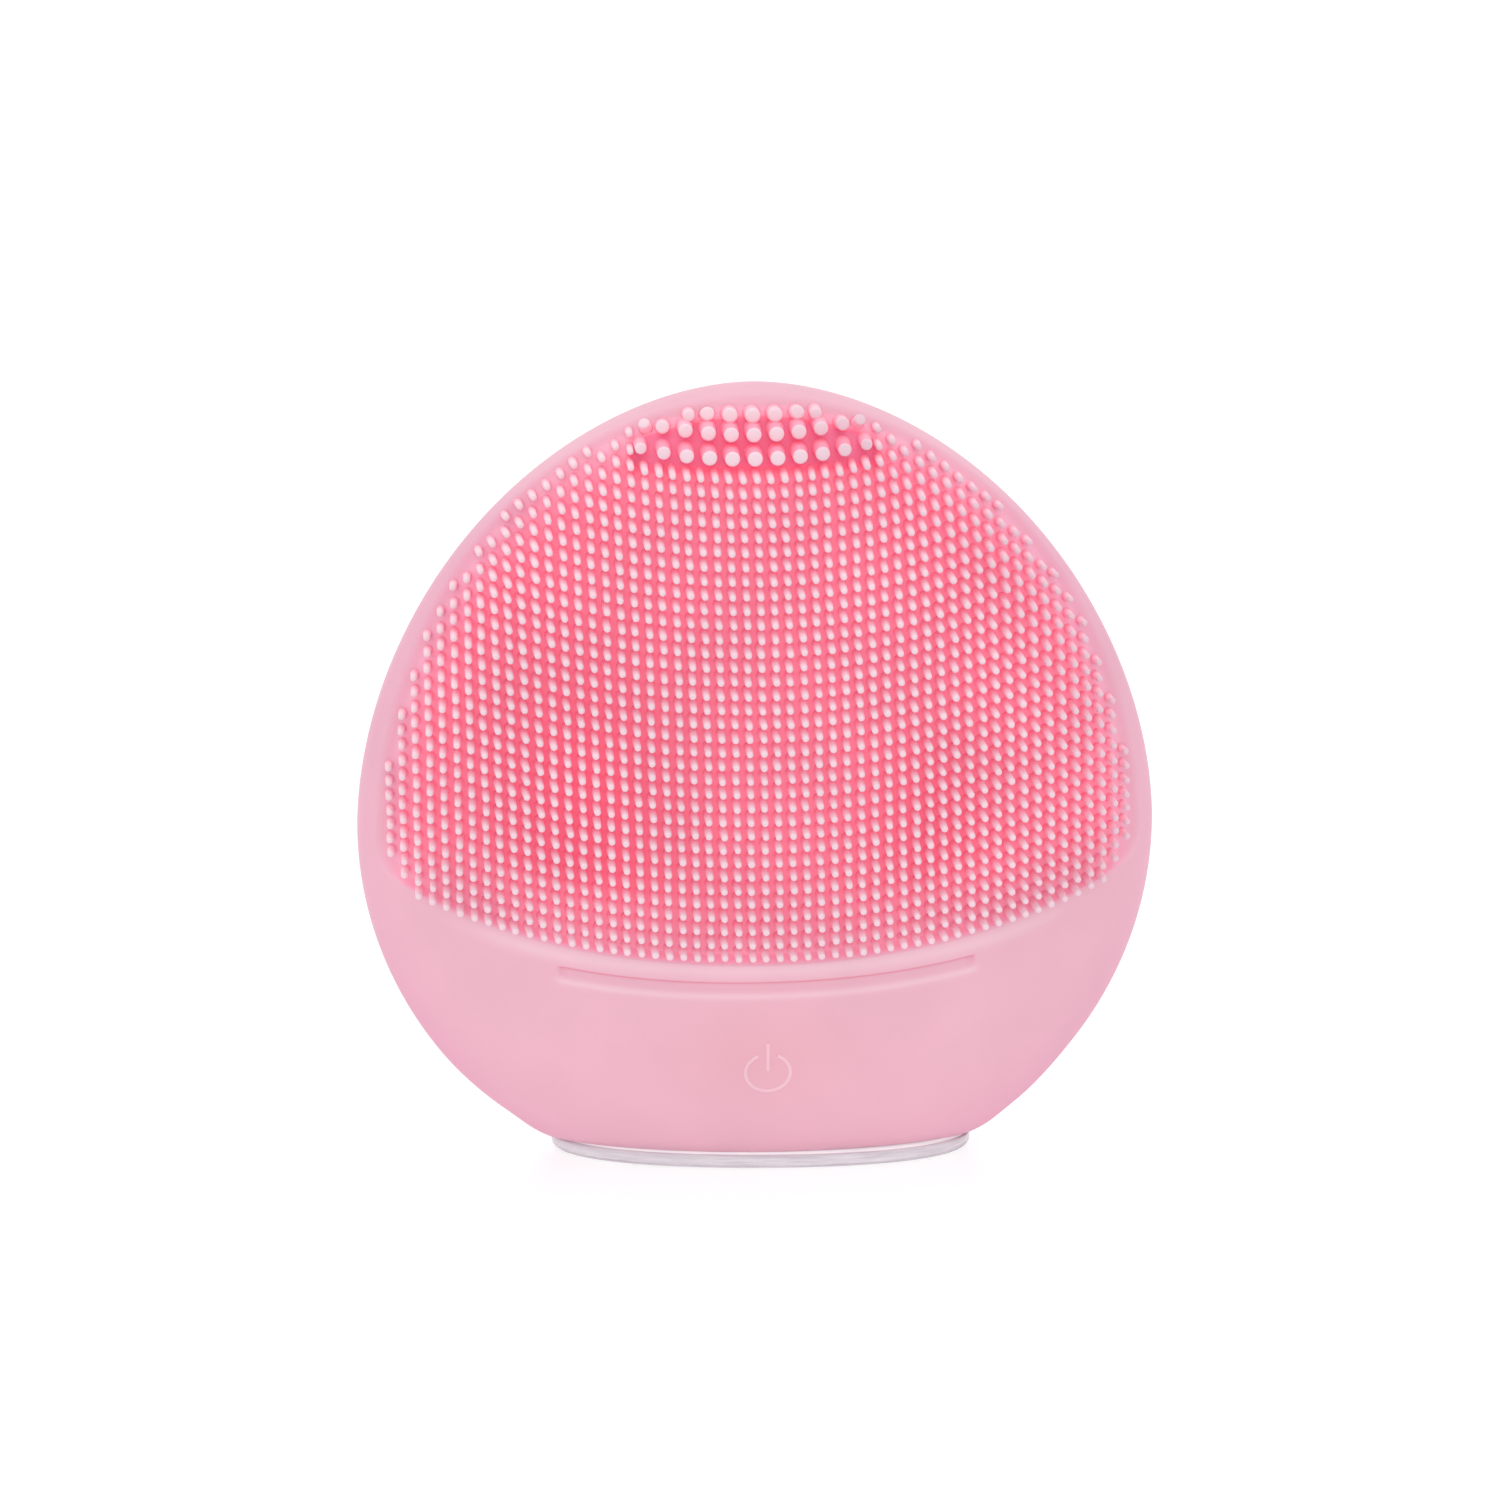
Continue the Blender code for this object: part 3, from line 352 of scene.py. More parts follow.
def make_skin():
    """The silicone sleeve: the outer skin with its relief, and its inside."""
    levels, columns = ring_levels(), 372
    points, normals = skin_grid(levels, columns)
    x, y, z = points[..., 0], points[..., 1], points[..., 2]
    front = y < 0.0
    depth = np.where(front, relief(x, z, -normals[..., 1]), 0.0)
    points -= depth[..., None] * normals
    near_foot = np.clip(FOOT_ROUNDING - z, 0.0, FOOT_ROUNDING)
    pull = FOOT_ROUNDING - np.sqrt(FOOT_ROUNDING ** 2 - near_foot ** 2)
    pull += FOOT_TAPER * (1.0 - smooth(z / 4.0))
    pull *= 1.0 - 0.75 * hill(x, 0.0, 14.0) * front
    level_normals = normals * (1.0, 1.0, 0.0)
    points -= pull[..., None] * level_normals
    points[..., 1] -= FOOT_TWIST * x * (1.0 - smooth(z / 9.0))
    points[..., 2] -= FOOT_REACH * (1.0 - smooth(points[..., 2] / 3.0))
    faces = grid_faces(len(levels), columns)
    outer = points.reshape(-1, 3)
    crown = len(outer)
    sole = crown + 1
    caps = [(0.0, 0.0, BODY_HEIGHT), (0.0, 0.0, -FOOT_REACH)]
    last = crown - columns
    faces += [(last + i, last + (i + 1) % columns, crown) for i in range(columns)]
    faces += [((i + 1) % columns, i, sole) for i in range(columns)]
    inner_levels = np.concatenate((np.linspace(0.0, 70.0, 40), (73.0, 75.0, 76.2)))
    inner_columns = 96
    inner, _ = skin_grid(inner_levels, inner_columns, SLEEVE_WALL)
    inner[..., 2] = np.maximum(inner[..., 2], SLEEVE_WALL * (1.0 - inner_levels[:, None] / 70.0))
    start = sole + 1
    faces += grid_faces(len(inner_levels), inner_columns, start, flip=True)
    inner = inner.reshape(-1, 3)
    top = start + len(inner)
    last = top - inner_columns
    caps_inside = [(0.0, 0.0, BODY_HEIGHT - SLEEVE_WALL), (0.0, 0.0, SLEEVE_WALL)]
    faces += [(last + (i + 1) % inner_columns, last + i, top) for i in range(inner_columns)]
    faces += [(start + i, start + (i + 1) % inner_columns, top + 1) for i in range(inner_columns)]
    skin = make_mesh("sleeve_skin", np.concatenate((outer, caps, inner, caps_inside)), faces)
    rest = np.zeros(len(inner) + 4)
    tint = np.where(front, skin_tint(x, z), PLAIN_TINT).reshape(-1)
    add_values(skin, "tint", np.concatenate((tint, rest + PLAIN_TINT)))
    # Painted shade: the sides and the foot, turned away from the light, are darkened in colour.
    turned = smooth((0.95 + normals[..., 1]) / 0.75) * (1.0 - smooth((z - 58.0) / 14.0))
    turned *= 0.45 + 0.55 * (1.0 - smooth((z - 6.0) / 26.0))
    add_values(skin, "painted_shade_away_from_light", np.concatenate((turned.reshape(-1), rest)))
    # Painted shade: a darker patch of skin around and above the button.
    near = hill(x, 0.0, 9.0) * hill(z, BUTTON_AT + 2.0, 5.5) * front
    add_values(skin, "painted_button_shade", np.concatenate((near.reshape(-1), rest)))
    # Painted shadow along the groove's sharp upper edge and around its ends.
    add_values(skin, "crease_shadow", np.concatenate(((crease_shadow(x, z) * front).reshape(-1), rest)))
    cut_port(skin)
    return skin


def add_values(item, name, values):
    """Store a value for each point, which the silicone's colour follows."""
    layer = item.data.attributes.new(name, "FLOAT", "POINT")
    layer.data.foreach_set("value", np.asarray(values, np.float32))


def cut_port(skin):
    """The charging port in the back."""
    bm = bmesh.new()
    place = Matrix.Translation((0.0, 15.0 * MM, JACK_AT * MM)) @ Matrix.Rotation(math.pi / 2, 4, "X")
    bmesh.ops.create_cone(bm, cap_ends=True, segments=40, radius1=PORT_RADIUS * MM,
                          radius2=PORT_RADIUS * MM, depth=8.0 * MM, matrix=place)
    mesh = bpy.data.meshes.new("port_cutter")
    bm.to_mesh(mesh)
    bm.free()
    cutter = add_object("port_cutter", mesh)
    cut = skin.modifiers.new("port", "BOOLEAN")
    cut.object = cutter
    cut.solver = "EXACT"
    apply_modifiers(skin)
    bpy.data.objects.remove(cutter)
    bm = bmesh.new()
    bm.from_mesh(skin.data)
    for edge in bm.edges:
        edge.smooth = edge.calc_face_angle(0.0) < SHARP_ANGLE
    bm.to_mesh(skin.data)
    bm.free()


def button_frame():
    """A frame on the skin at the button: +Z out of the skin, +Y up along it."""
    share = (DEEPEST_AT - BUTTON_AT) / LOWER_DEPTH_RADIUS
    slope = BODY_HALF_DEPTH * share / (LOWER_DEPTH_RADIUS * math.sqrt(1.0 - share * share))
    place = Matrix.Translation((0.0, -float(half_depth(BUTTON_AT)), BUTTON_AT))
    return place @ Matrix.Rotation(math.pi / 2 + math.atan(slope), 4, "X")


def button_cut():
    """The direction out of the skin at the button, and a point of the cut under its crown."""
    button = button_frame()
    out = (button.to_3x3() @ Vector((0.0, 0.0, 1.0))).normalized()
    return out, button.translation - CAP_HEIGHT * out


def split_button_skin(skin):
    """Part the skin over the button from the rest, along a level cut under its crown."""
    out, level = button_cut()
    level = level * MM
    bm = bmesh.new()
    bm.from_mesh(skin.data)
    near = [f for f in bm.faces
            if f.calc_center_median().y < -0.008 and f.calc_center_median().z < 0.0178]
    parts = near + list({e for f in near for e in f.edges}) + list({v for f in near for v in f.verts})
    bmesh.ops.bisect_plane(bm, geom=parts, plane_co=level, plane_no=out, dist=1e-7)
    cap = bm.copy()
    for mesh, keep_raised in ((bm, False), (cap, True)):
        spare = [f for f in mesh.faces
                 if ((f.calc_center_median() - level).dot(out) > 1e-7) != keep_raised]
        bmesh.ops.delete(mesh, geom=spare, context="FACES")
    bm.to_mesh(skin.data)
    bm.free()
    mesh = bpy.data.meshes.new("button_skin")
    cap.to_mesh(mesh)
    cap.free()
    return add_object("button_skin", mesh)


def make_symbol():
    """The raised power symbol: an open ring and a bar, lying on the skin."""
    arc = [(SYMBOL_RADIUS * math.sin(a), SYMBOL_RADIUS * math.cos(a))
           for a in np.linspace(SYMBOL_GAP, 2.0 * math.pi - SYMBOL_GAP, 60)]
    bar = [(0.0, y) for y in np.linspace(0.25, SYMBOL_RADIUS + 1.33, 10)]
    curve = bpy.data.curves.new("power_symbol", "CURVE")
    curve.dimensions = "3D"
    curve.bevel_depth = SYMBOL_LINE * MM
    curve.bevel_resolution = 4
    curve.use_fill_caps = True
    for line in (arc, bar):
        spline = curve.splines.new("POLY")
        spline.points.add(len(line) - 1)
        for slot, (across, up) in zip(spline.points, line):
            x, z = SYMBOL_X + across, BUTTON_AT + 0.93 * up
            y = -float(skin_depth(x, z)) + SYMBOL_SINK * SYMBOL_LINE
            slot.co = (x * MM, y * MM, z * MM, 1.0)
    item = add_object("power_symbol", curve)
    graph = bpy.context.evaluated_depsgraph_get()
    mesh = bpy.data.meshes.new_from_object(item.evaluated_get(graph))
    bpy.data.objects.remove(item)
    mesh.polygons.foreach_set("use_smooth", [True] * len(mesh.polygons))
    return add_object("power_symbol", mesh)


# ---------------------------------------------------------------- bristles

def fine_tips():
    """(x, z) of the fine bristles' tips, row by row, as seen from the front."""
    tips = []
    for row in range(-2, ROWS):
        bend = 0.0044 + 0.0032 * (1.0 - row / (ROWS - 1)) ** 2
        for column in range(-FURTHEST_COLUMN, FURTHEST_COLUMN + 1):
            x = COLUMN_PITCH * column
            z = FIRST_ROW_AT - ROW_PITCH * row + bend * x ** 2 + 3e-7 * x ** 4
            reach = LAST_ROWS.get(row, FURTHEST_COLUMN)
            beside_thick = row >= 0 or abs(column) > 8
            if inside_oval(x, z) > BORDER_CLEARANCE and abs(column) <= reach and beside_thick:
                tips.append((x, z))
    return np.array(tips)


def thick_tips():
    """(x, z, radius) of the thick bristles' tips."""
    tips = []
    for height, bend, half_count, pull, droop in THICK_ROWS:
        for column in range(-half_count, half_count + 1):
            last = abs(column) == half_count
            pitch = THICK_PITCH - pull * last / half_count
            x = THICK_SHIFT + pitch * column
            size = THICK_RADIUS * (1.0 - 0.22 * (abs(column) / half_count) ** 3)
            tips.append((x, height + bend * x ** 2 - droop * last, size))
    return np.array(tips)


def bristle_roots(x, z, radii):
    """Root centres under the field's floor, drawn inwards where their rims would leave the body."""
    inward_x, inward_z = -x, 40.0 - z
    far = np.hypot(inward_x, inward_z)
    inward_x, inward_z = inward_x / far, inward_z / far
    for _ in range(20):
        depth = skin_depth(x, z) - FIELD_RECESS - ROOT_SINK
        step = 0.08 * (skin_depth(x - inward_x * radii, z - inward_z * radii) < depth + 0.05)
        x, z = x + step * inward_x, z + step * inward_z
    return np.stack([x, FIELD_RECESS + ROOT_SINK - skin_depth(x, z), z], axis=1)


def make_bristles(name, tips, radii, leans, profile, sides, side_tint=0.0):
    """Bristles from the field's floor to their tips, in one mesh.

    profile gives each ring as (radii back from the tip, share of the radius), the first of
    them at the root; a point closes each end.  side_tint is added to the tint beside the end.
    """
    x, z = tips[:, 0], tips[:, 1]
    depth = skin_depth(x, z)
    inside = inside_field(x, z)
    proud = BRISTLE_PROUD * (0.45 + 0.55 * smooth(inside_oval(x, z) / 4.5))
    end = np.stack([x, -depth - proud, z], axis=1)
    root = bristle_roots(x - leans[:, 0], z - leans[:, 1], profile[0][1] * radii)
    axis = end - root
    length = np.linalg.norm(axis, axis=1)
    axis /= length[:, None]
    across = np.cross(axis, (0.0, 0.0, 1.0))
    across /= np.linalg.norm(across, axis=1, keepdims=True)
    upward = np.cross(across, axis)
    turns = np.linspace(0.0, 2.0 * math.pi, sides, endpoint=False)
    rings = []
    for back, share in profile:
        along = np.maximum(length - back * radii, 0.0) if back < 50.0 else 0.0 * length
        centre = root + axis * along[:, None]
        spoke = (across[:, None, :] * np.cos(turns)[None, :, None]
                 + upward[:, None, :] * np.sin(turns)[None, :, None])
        rings.append(centre[:, None, :] + spoke * (share * radii)[:, None, None])
    grid = np.stack(rings, axis=1)
    count, levels = len(tips), len(profile)
    tip = levels * sides
    last, step = tip - sides, tip + 2
    points = np.concatenate((grid.reshape(count, -1, 3), end[:, None, :], root[:, None, :]), axis=1)
    pattern = grid_faces(levels, sides, flip=True)
    pattern += [(last + (i + 1) % sides, last + i, tip) for i in range(sides)]
    pattern += [(i, (i + 1) % sides, tip + 1) for i in range(sides)]
    faces = [tuple(i * step + k for k in face) for i in range(count) for face in pattern]
    item = make_mesh(name, points.reshape(-1, 3), faces)
    rounded = [True] * (len(pattern) - sides) + [False] * sides
    item.data.polygons.foreach_set("use_smooth", rounded * count)
    along = np.sum((points - root[:, None, :]) * axis[:, None, :], axis=2)
    drop = np.clip(1.0 - along / length[:, None], 0.0, 1.0)
    beside = drop * length[:, None] > 0.3 * radii[:, None]
    deep = smooth(inside / 3.0)[:, None]
    tint = (drop + side_tint * (0.4 + 0.6 * deep) * beside * (1.0 - drop)) * (0.75 + 0.25 * deep)
    add_values(item, "tint", tint.reshape(-1))
    # Painted shade: tips near the right border are darkened, where less light falls.
    turned = smooth(x / 14.0) * (1.0 - smooth(inside_oval(x, z) / 11.0))
    add_values(item, "painted_shade_away_from_light", (turned[:, None] * (1.0 - smooth(2.0 * drop))).reshape(-1))
    return item


def make_fine_bristles():
    tips = fine_tips()
    x = tips[:, 0]
    tips = tips + RANDOM.normal(0.0, 0.03, tips.shape)
    lean_x = 0.08 + 0.30 * smooth((x - 10.0) / 16.0) + 0.12 * smooth((-x - 8.0) / 14.0)
    lean_x += 0.10 * hill(x, -23.5, 3.0) - 0.26 * smooth((-x - 24.5) / 6.0)
    waver = 0.05 * np.sin(x * 0.45 + tips[:, 1] * 0.31) + RANDOM.normal(0.0, 0.015, len(x))
    lean_z = -0.42 + 0.05 * np.sin(x * 0.27 - tips[:, 1] * 0.38)
    lean_z *= 0.25 + 0.75 * smooth(inside_oval(x, tips[:, 1]) / 5.0)
    leans = np.stack([lean_x + waver, lean_z], axis=1)
    radii = FINE_RADIUS * RANDOM.normal(1.0, 0.03, len(x))
    profile = ((99.0, 1.34), (3.6, 1.08), (0.62, 1.0), (0.30, 0.86), (0.08, 0.52))
    return make_bristles("fine_bristles", tips, radii, leans, profile, 9)


def make_thick_bristles():
    tips = thick_tips()
    leans = np.tile((0.05, -0.20), (len(tips), 1))
    profile = ((99.0, 1.22), (2.4, 1.05), (0.40, 1.0), (0.17, 0.95), (0.05, 0.82), (0.0, 0.60))
    return make_bristles("thick_bristles", tips[:, :2], tips[:, 2], leans, profile, 24, 1.0)


# ---------------------------------------------------------------- stand

def make_stand():
    """The clear oval dish, with rounded edges and a shallow recess in its top.

    profile gives each ring as (distance out from the rim, height above the table).
    """
    profile = ((-4.30, 1.08), (-3.70, 1.13), (-3.30, 1.26), (-3.00, 1.45), (-2.75, 1.56), (-2.50, 1.60),
               (-1.00, 1.60), (-0.40, 1.60), (-0.26, 1.58), (-0.14, 1.52), (-0.05, 1.41), (-0.01, 1.25),
               (0.0, 0.90), (-0.05, 0.60), (-0.18, 0.36), (-0.42, 0.18), (-0.78, 0.07), (-1.25, 0.01),
               (-1.75, 0.0))
    columns = 160
    turns = np.linspace(0.0, 2.0 * math.pi, columns, endpoint=False)
    right, back = superellipse(turns)
    cos, sin = math.cos(STAND_TURN), math.sin(STAND_TURN)
    rings, edge = [], []
    for inward, z in profile:
        x, y = (STAND_RIM + inward) * right, (STAND_FLATNESS * STAND_RIM + inward) * back
        rings.append((STAND_X + x * cos - y * sin, x * sin + y * cos, z + 0.0 * turns))
        # The top of the rim is marked for a painted highlight.
        edge.append(np.full(columns, float(z >= STAND_HEIGHT and inward > -STAND_LIT)))
    points = np.concatenate([np.stack(ring, axis=1) for ring in rings])
    faces = grid_faces(len(rings), columns, flip=True)
    top, under = len(points), len(points) + 1
    last = top - columns
    faces += [(i, (i + 1) % columns, top) for i in range(columns)]
    faces += [(last + (i + 1) % columns, last + i, under) for i in range(columns)]
    points = np.concatenate((points, [(STAND_X, 0.0, profile[0][1]), (STAND_X, 0.0, 0.0)]))
    dish = make_mesh("stand_dish", points, faces)
    add_values(dish, "edge", np.concatenate(edge + [np.zeros(2)]))
    return dish


# ---------------------------------------------------------------- materials

def new_material(name):
    look = bpy.data.materials.new(name)
    look.use_nodes = True
    shader = look.node_tree.nodes["Principled BSDF"]
    return look, look.node_tree, shader


def noise(tree, scale, detail=3.0, stretch=(1.0, 1.0, 1.0)):
    """A noise pattern fixed to the piece; scale is in cycles per metre."""
    place = tree.nodes.new("ShaderNodeTexCoord")
    size = tree.nodes.new("ShaderNodeMapping")
    size.inputs["Scale"].default_value = stretch
    tree.links.new(place.outputs["Object"], size.inputs["Vector"])
    pattern = tree.nodes.new("ShaderNodeTexNoise")
    pattern.inputs["Scale"].default_value = scale
    pattern.inputs["Detail"].default_value = detail
    tree.links.new(size.outputs["Vector"], pattern.inputs["Vector"])
    return pattern.outputs["Fac"]


def ramp(tree, value, stops):
    """Colours along a value; stops are (place, colour)."""
    node = tree.nodes.new("ShaderNodeValToRGB")
    while len(node.color_ramp.elements) < len(stops):
        node.color_ramp.elements.new(0.5)
    for element, (place, colour) in zip(node.color_ramp.elements, stops):
        element.position = place
        element.color = (*colour, 1.0)
    tree.links.new(value, node.inputs["Fac"])
    return node.outputs["Color"]


def spread(tree, value, low, high):
    """A value spread between two numbers."""
    node = tree.nodes.new("ShaderNodeMapRange")
    node.inputs["From Min"].default_value = 0.3
    node.inputs["From Max"].default_value = 0.7
    node.inputs["To Min"].default_value = low
    node.inputs["To Max"].default_value = high
    tree.links.new(value, node.inputs["Value"])
    return node.outputs["Result"]


def add_bump(tree, shader, value, height):
    node = tree.nodes.new("ShaderNodeBump")
    node.inputs["Distance"].default_value = height * MM
    tree.links.new(value, node.inputs["Height"])
    tree.links.new(node.outputs["Normal"], shader.inputs["Normal"])


def tone(colour, factor):
    return tuple(min(channel * factor, 1.0) for channel in colour)


def textured(name, colour, roughness, scale, depth, metallic=0.0, vary=0.08, stretch=(1.0, 1.0, 1.0)):
    """A material with its own grain: colour, roughness and bump all follow a noise."""
    look, tree, shader = new_material(name)
    grain = noise(tree, scale, 4.0, stretch)
    cloud = noise(tree, scale * 0.08, 2.0)
    tree.links.new(ramp(tree, cloud, ((0.3, tone(colour, 1.0 - vary)), (0.7, tone(colour, 1.0 + vary)))),
                   shader.inputs["Base Color"])
    tree.links.new(spread(tree, grain, roughness - 0.06, roughness + 0.06), shader.inputs["Roughness"])
    shader.inputs["Metallic"].default_value = metallic
    add_bump(tree, shader, grain, depth)
    return look


def attribute(tree, name):
    node = tree.nodes.new("ShaderNodeAttribute")
    node.attribute_name = name
    return node.outputs["Fac"]


def shaded(tree, colour, amount, shade):
    """A colour multiplied by a shade, as far as amount says."""
    node = tree.nodes.new("ShaderNodeMix")
    node.data_type = "RGBA"
    node.blend_type = "MULTIPLY"
    tree.links.new(amount, node.inputs[0])
    tree.links.new(colour, node.inputs[6])
    node.inputs[7].default_value = (*shade, 1.0)
    return node.outputs[2]


PAINTED_SIDE_SHADE = (0.94, 0.68, 0.85)         # painted shade on silicone turned away from the front and from the light
BUTTON_PAINTED_SHADE = (0.985, 0.94, 0.91)      # painted shade of the skin over the button
CREASE_PAINTED_SHADOW = (0.98, 0.63, 0.71)       # painted shadow along the groove's sharp edge and its ends


def silicone(name, stops, glow, painted_side_shade=PAINTED_SIDE_SHADE, grain_depth=0.010):
    """Matte moulded silicone: faint clouding, a fine satin grain and a soft sheen.

    stops are its colours from the rim or the tips down into the field, where it is painted deeper
    and given a painted glow, an emission; both stand in for the light that comes through the thin
    silicone.
    """
    look, tree, shader = new_material(name)
    tint = attribute(tree, "tint")
    colour = ramp(tree, tint, stops)
    # Painted shade where the silicone is turned away from the light.
    colour = shaded(tree, colour, attribute(tree, "painted_shade_away_from_light"), painted_side_shade)
    # Painted shade over the button.
    colour = shaded(tree, colour, attribute(tree, "painted_button_shade"), BUTTON_PAINTED_SHADE)
    # Painted shadow along the groove's crease.
    colour = shaded(tree, colour, attribute(tree, "crease_shadow"), CREASE_PAINTED_SHADOW)
    cloud = spread(tree, noise(tree, 90.0, 3.0), 0.97, 1.03)
    shade = tree.nodes.new("ShaderNodeVectorMath")
    shade.operation = "SCALE"
    tree.links.new(colour, shade.inputs[0])
    tree.links.new(cloud, shade.inputs["Scale"])
    tree.links.new(shade.outputs["Vector"], shader.inputs["Base Color"])
    # Painted light: the glow is an emission that follows the tint.
    tree.links.new(ramp(tree, tint, glow), shader.inputs["Emission Color"])
    shader.inputs["Emission Strength"].default_value = 1.0
    grain = noise(tree, 5200.0, 2.0)
    tree.links.new(spread(tree, grain, 0.44, 0.58), shader.inputs["Roughness"])
    shader.inputs["Sheen Weight"].default_value = 0.08
    shader.inputs["Sheen Roughness"].default_value = 0.45
    add_bump(tree, shader, grain, grain_depth)
    return look


def clear_plastic(name, clearness, edge_light):
    """Clear plastic with the faint streaks of its moulding; the edge of a dish has a painted highlight,
    an emission.
    """
    look, tree, shader = new_material(name)
    shader.inputs["Transmission Weight"].default_value = clearness
    shader.inputs["IOR"].default_value = 1.46
    streaks = noise(tree, 260.0, 4.0, (1.0, 1.0, 14.0))
    tree.links.new(ramp(tree, streaks, ((0.3, (0.60, 0.52, 0.58)), (0.7, (0.76, 0.70, 0.74)))),
                   shader.inputs["Base Color"])
    tree.links.new(spread(tree, streaks, 0.06, 0.16), shader.inputs["Roughness"])
    # Painted highlight: a faint greenish emission along the dish's top edge.
    light = tree.nodes.new("ShaderNodeMapRange")
    light.inputs["To Max"].default_value = edge_light
    tree.links.new(attribute(tree, "edge"), light.inputs["Value"])
    shader.inputs["Emission Color"].default_value = (0.86, 0.97, 0.93, 1.0)
    tree.links.new(light.outputs["Result"], shader.inputs["Emission Strength"])
    add_bump(tree, shader, streaks, 0.03)
    return look


def wound_copper():
    """Copper wire wound side by side."""
    look, tree, shader = new_material("wound_copper")
    place = tree.nodes.new("ShaderNodeTexCoord")
    turns = tree.nodes.new("ShaderNodeTexWave")
    turns.inputs["Scale"].default_value = 900.0
    turns.inputs["Distortion"].default_value = 1.5
    tree.links.new(place.outputs["Object"], turns.inputs["Vector"])
    stops = ((0.2, (0.30, 0.10, 0.04)), (0.8, (0.80, 0.36, 0.17)))
    tree.links.new(ramp(tree, turns.outputs["Fac"], stops), shader.inputs["Base Color"])
    shader.inputs["Metallic"].default_value = 1.0
    shader.inputs["Roughness"].default_value = 0.3
    add_bump(tree, shader, turns.outputs["Fac"], 0.08)
    return look


SKIN_COLOURS = ((0.0, (0.87, 0.55, 0.64)), (0.12, (0.82, 0.44, 0.542)), (0.38, (0.88, 0.40, 0.525)),
                (0.77, (0.895, 0.315, 0.43)), (0.88, (0.875, 0.175, 0.285)), (1.0, (0.74, 0.18, 0.31)))
# Painted light: the skin's glow is an emission standing in for light through the silicone.
SKIN_GLOW = ((0.12, (0.0, 0.0, 0.0)), (0.25, (0.05, 0.030, 0.045)), (0.77, (0.185, 0.045, 0.075)),
             (0.88, (0.185, 0.026, 0.048)), (1.0, (0.125, 0.018, 0.042)))
SYMBOL_COLOURS = ((0.0, (0.87, 0.53, 0.62)), (1.0, (0.87, 0.53, 0.62)))
NO_GLOW = ((0.0, (0.0, 0.0, 0.0)), (1.0, (0.0, 0.0, 0.0)))
BRISTLE_COLOURS = ((0.0, (0.84, 0.62, 0.685)), (0.25, (0.90, 0.62, 0.69)), (0.50, (0.95, 0.57, 0.65)),
                   (0.75, (0.97, 0.44, 0.54)), (1.0, (0.97, 0.30, 0.41)))
# Painted light: the bristles' glow is an emission as well.
BRISTLE_GLOW = ((0.0, (0.015, 0.022, 0.022)), (0.12, (0.045, 0.042, 0.050)), (0.45, (0.095, 0.05, 0.07)),
                (0.95, (0.175, 0.035, 0.062)))

LOOKS = {
    "clear_plastic": clear_plastic("clear_plastic", 0.8, 0.0),
    "white_abs": textured("white_abs", (0.80, 0.80, 0.78), 0.45, 2600.0, 0.02),
    "seal_rubber": textured("seal_rubber", (0.03, 0.03, 0.03), 0.72, 1800.0, 0.03, vary=0.25),
    "steel": textured("steel", (0.58, 0.58, 0.60), 0.30, 2400.0, 0.01, metallic=1.0),
    "motor_steel": textured("motor_steel", (0.60, 0.60, 0.58), 0.34, 1400.0, 0.01, metallic=1.0,
                            stretch=(0.15, 1.0, 1.0)),
    "ferrite": textured("ferrite", (0.05, 0.05, 0.055), 0.66, 2600.0, 0.03, vary=0.2),
    "copper": wound_copper(),
    "tungsten": textured("tungsten", (0.34, 0.34, 0.36), 0.42, 3200.0, 0.02, metallic=1.0),
    "board_green": textured("board_green", (0.02, 0.20, 0.08), 0.36, 1500.0, 0.02, vary=0.3),
    "chip_black": textured("chip_black", (0.025, 0.025, 0.03), 0.50, 3000.0, 0.02, vary=0.2),
    "lens_white": textured("lens_white", (0.88, 0.87, 0.80), 0.25, 1200.0, 0.01),
    "battery_foil": textured("battery_foil", (0.66, 0.67, 0.70), 0.32, 700.0, 0.05, metallic=0.9),
    "foam": textured("foam", (0.07, 0.07, 0.08), 0.90, 1600.0, 0.15, vary=0.35),
    "wire_red": textured("wire_red", (0.55, 0.02, 0.02), 0.42, 1500.0, 0.01),
    "wire_black": textured("wire_black", (0.02, 0.02, 0.02), 0.42, 1500.0, 0.01, vary=0.25),
}


def finish_cad_nodes():
    """Give the pieces inside the materials of their slots."""
    slots = {part["node"]: part["material_slot"] for part in frame["record"]["subparts"]}
    for name, node in frame["nodes"].items():
        if slots[name] in LOOKS:
            node.data.materials.clear()
            node.data.materials.append(LOOKS[slots[name]])


# ---------------------------------------------------------------- assembly

def place_piece(item, look, body, slot, *replaced):
    """Put a piece in its place on a body; all but the stand are made above the brush's foot."""
    item.data.materials.clear()
    item.data.materials.append(look)
    if body != "stand":
        item.data.transform(Matrix.Translation((0.0, 0.0, FOOT * MM)))
    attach(item, body)
    if replaced:
        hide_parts(*replaced)
    return item


def build_brush():
    silicone_look = silicone("pink_silicone", SKIN_COLOURS, SKIN_GLOW)
    # The bristles' own painted shade, for tips near the right border that are turned from the light.
    bristle_look = silicone("bristle_silicone", BRISTLE_COLOURS, BRISTLE_GLOW, (0.90, 0.84, 0.88), 0.002)
    skin = make_skin()
    cap = split_button_skin(skin)
    place_piece(skin, silicone_look, "brush", "pink_silicone", "silicone_sleeve")
    place_piece(cap, silicone_look, "brush", "pink_silicone")
    symbol_look = silicone("symbol_silicone", SYMBOL_COLOURS, NO_GLOW)
    place_piece(make_symbol(), symbol_look, "button", "pink_silicone")
    place_piece(make_fine_bristles(), bristle_look, "brush", "bristle_silicone", "fine_bristle_field")
    place_piece(make_thick_bristles(), bristle_look, "brush", "bristle_silicone", "thick_bristle_field")
    dish_look = clear_plastic("clear_dish", 0.35, 0.42)
    place_piece(make_stand(), dish_look, "stand", "clear_plastic", "display_stand")
    out, level = button_cut()
    level = (level + Vector((0.0, 0.0, FOOT))) * MM
    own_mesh(cap)


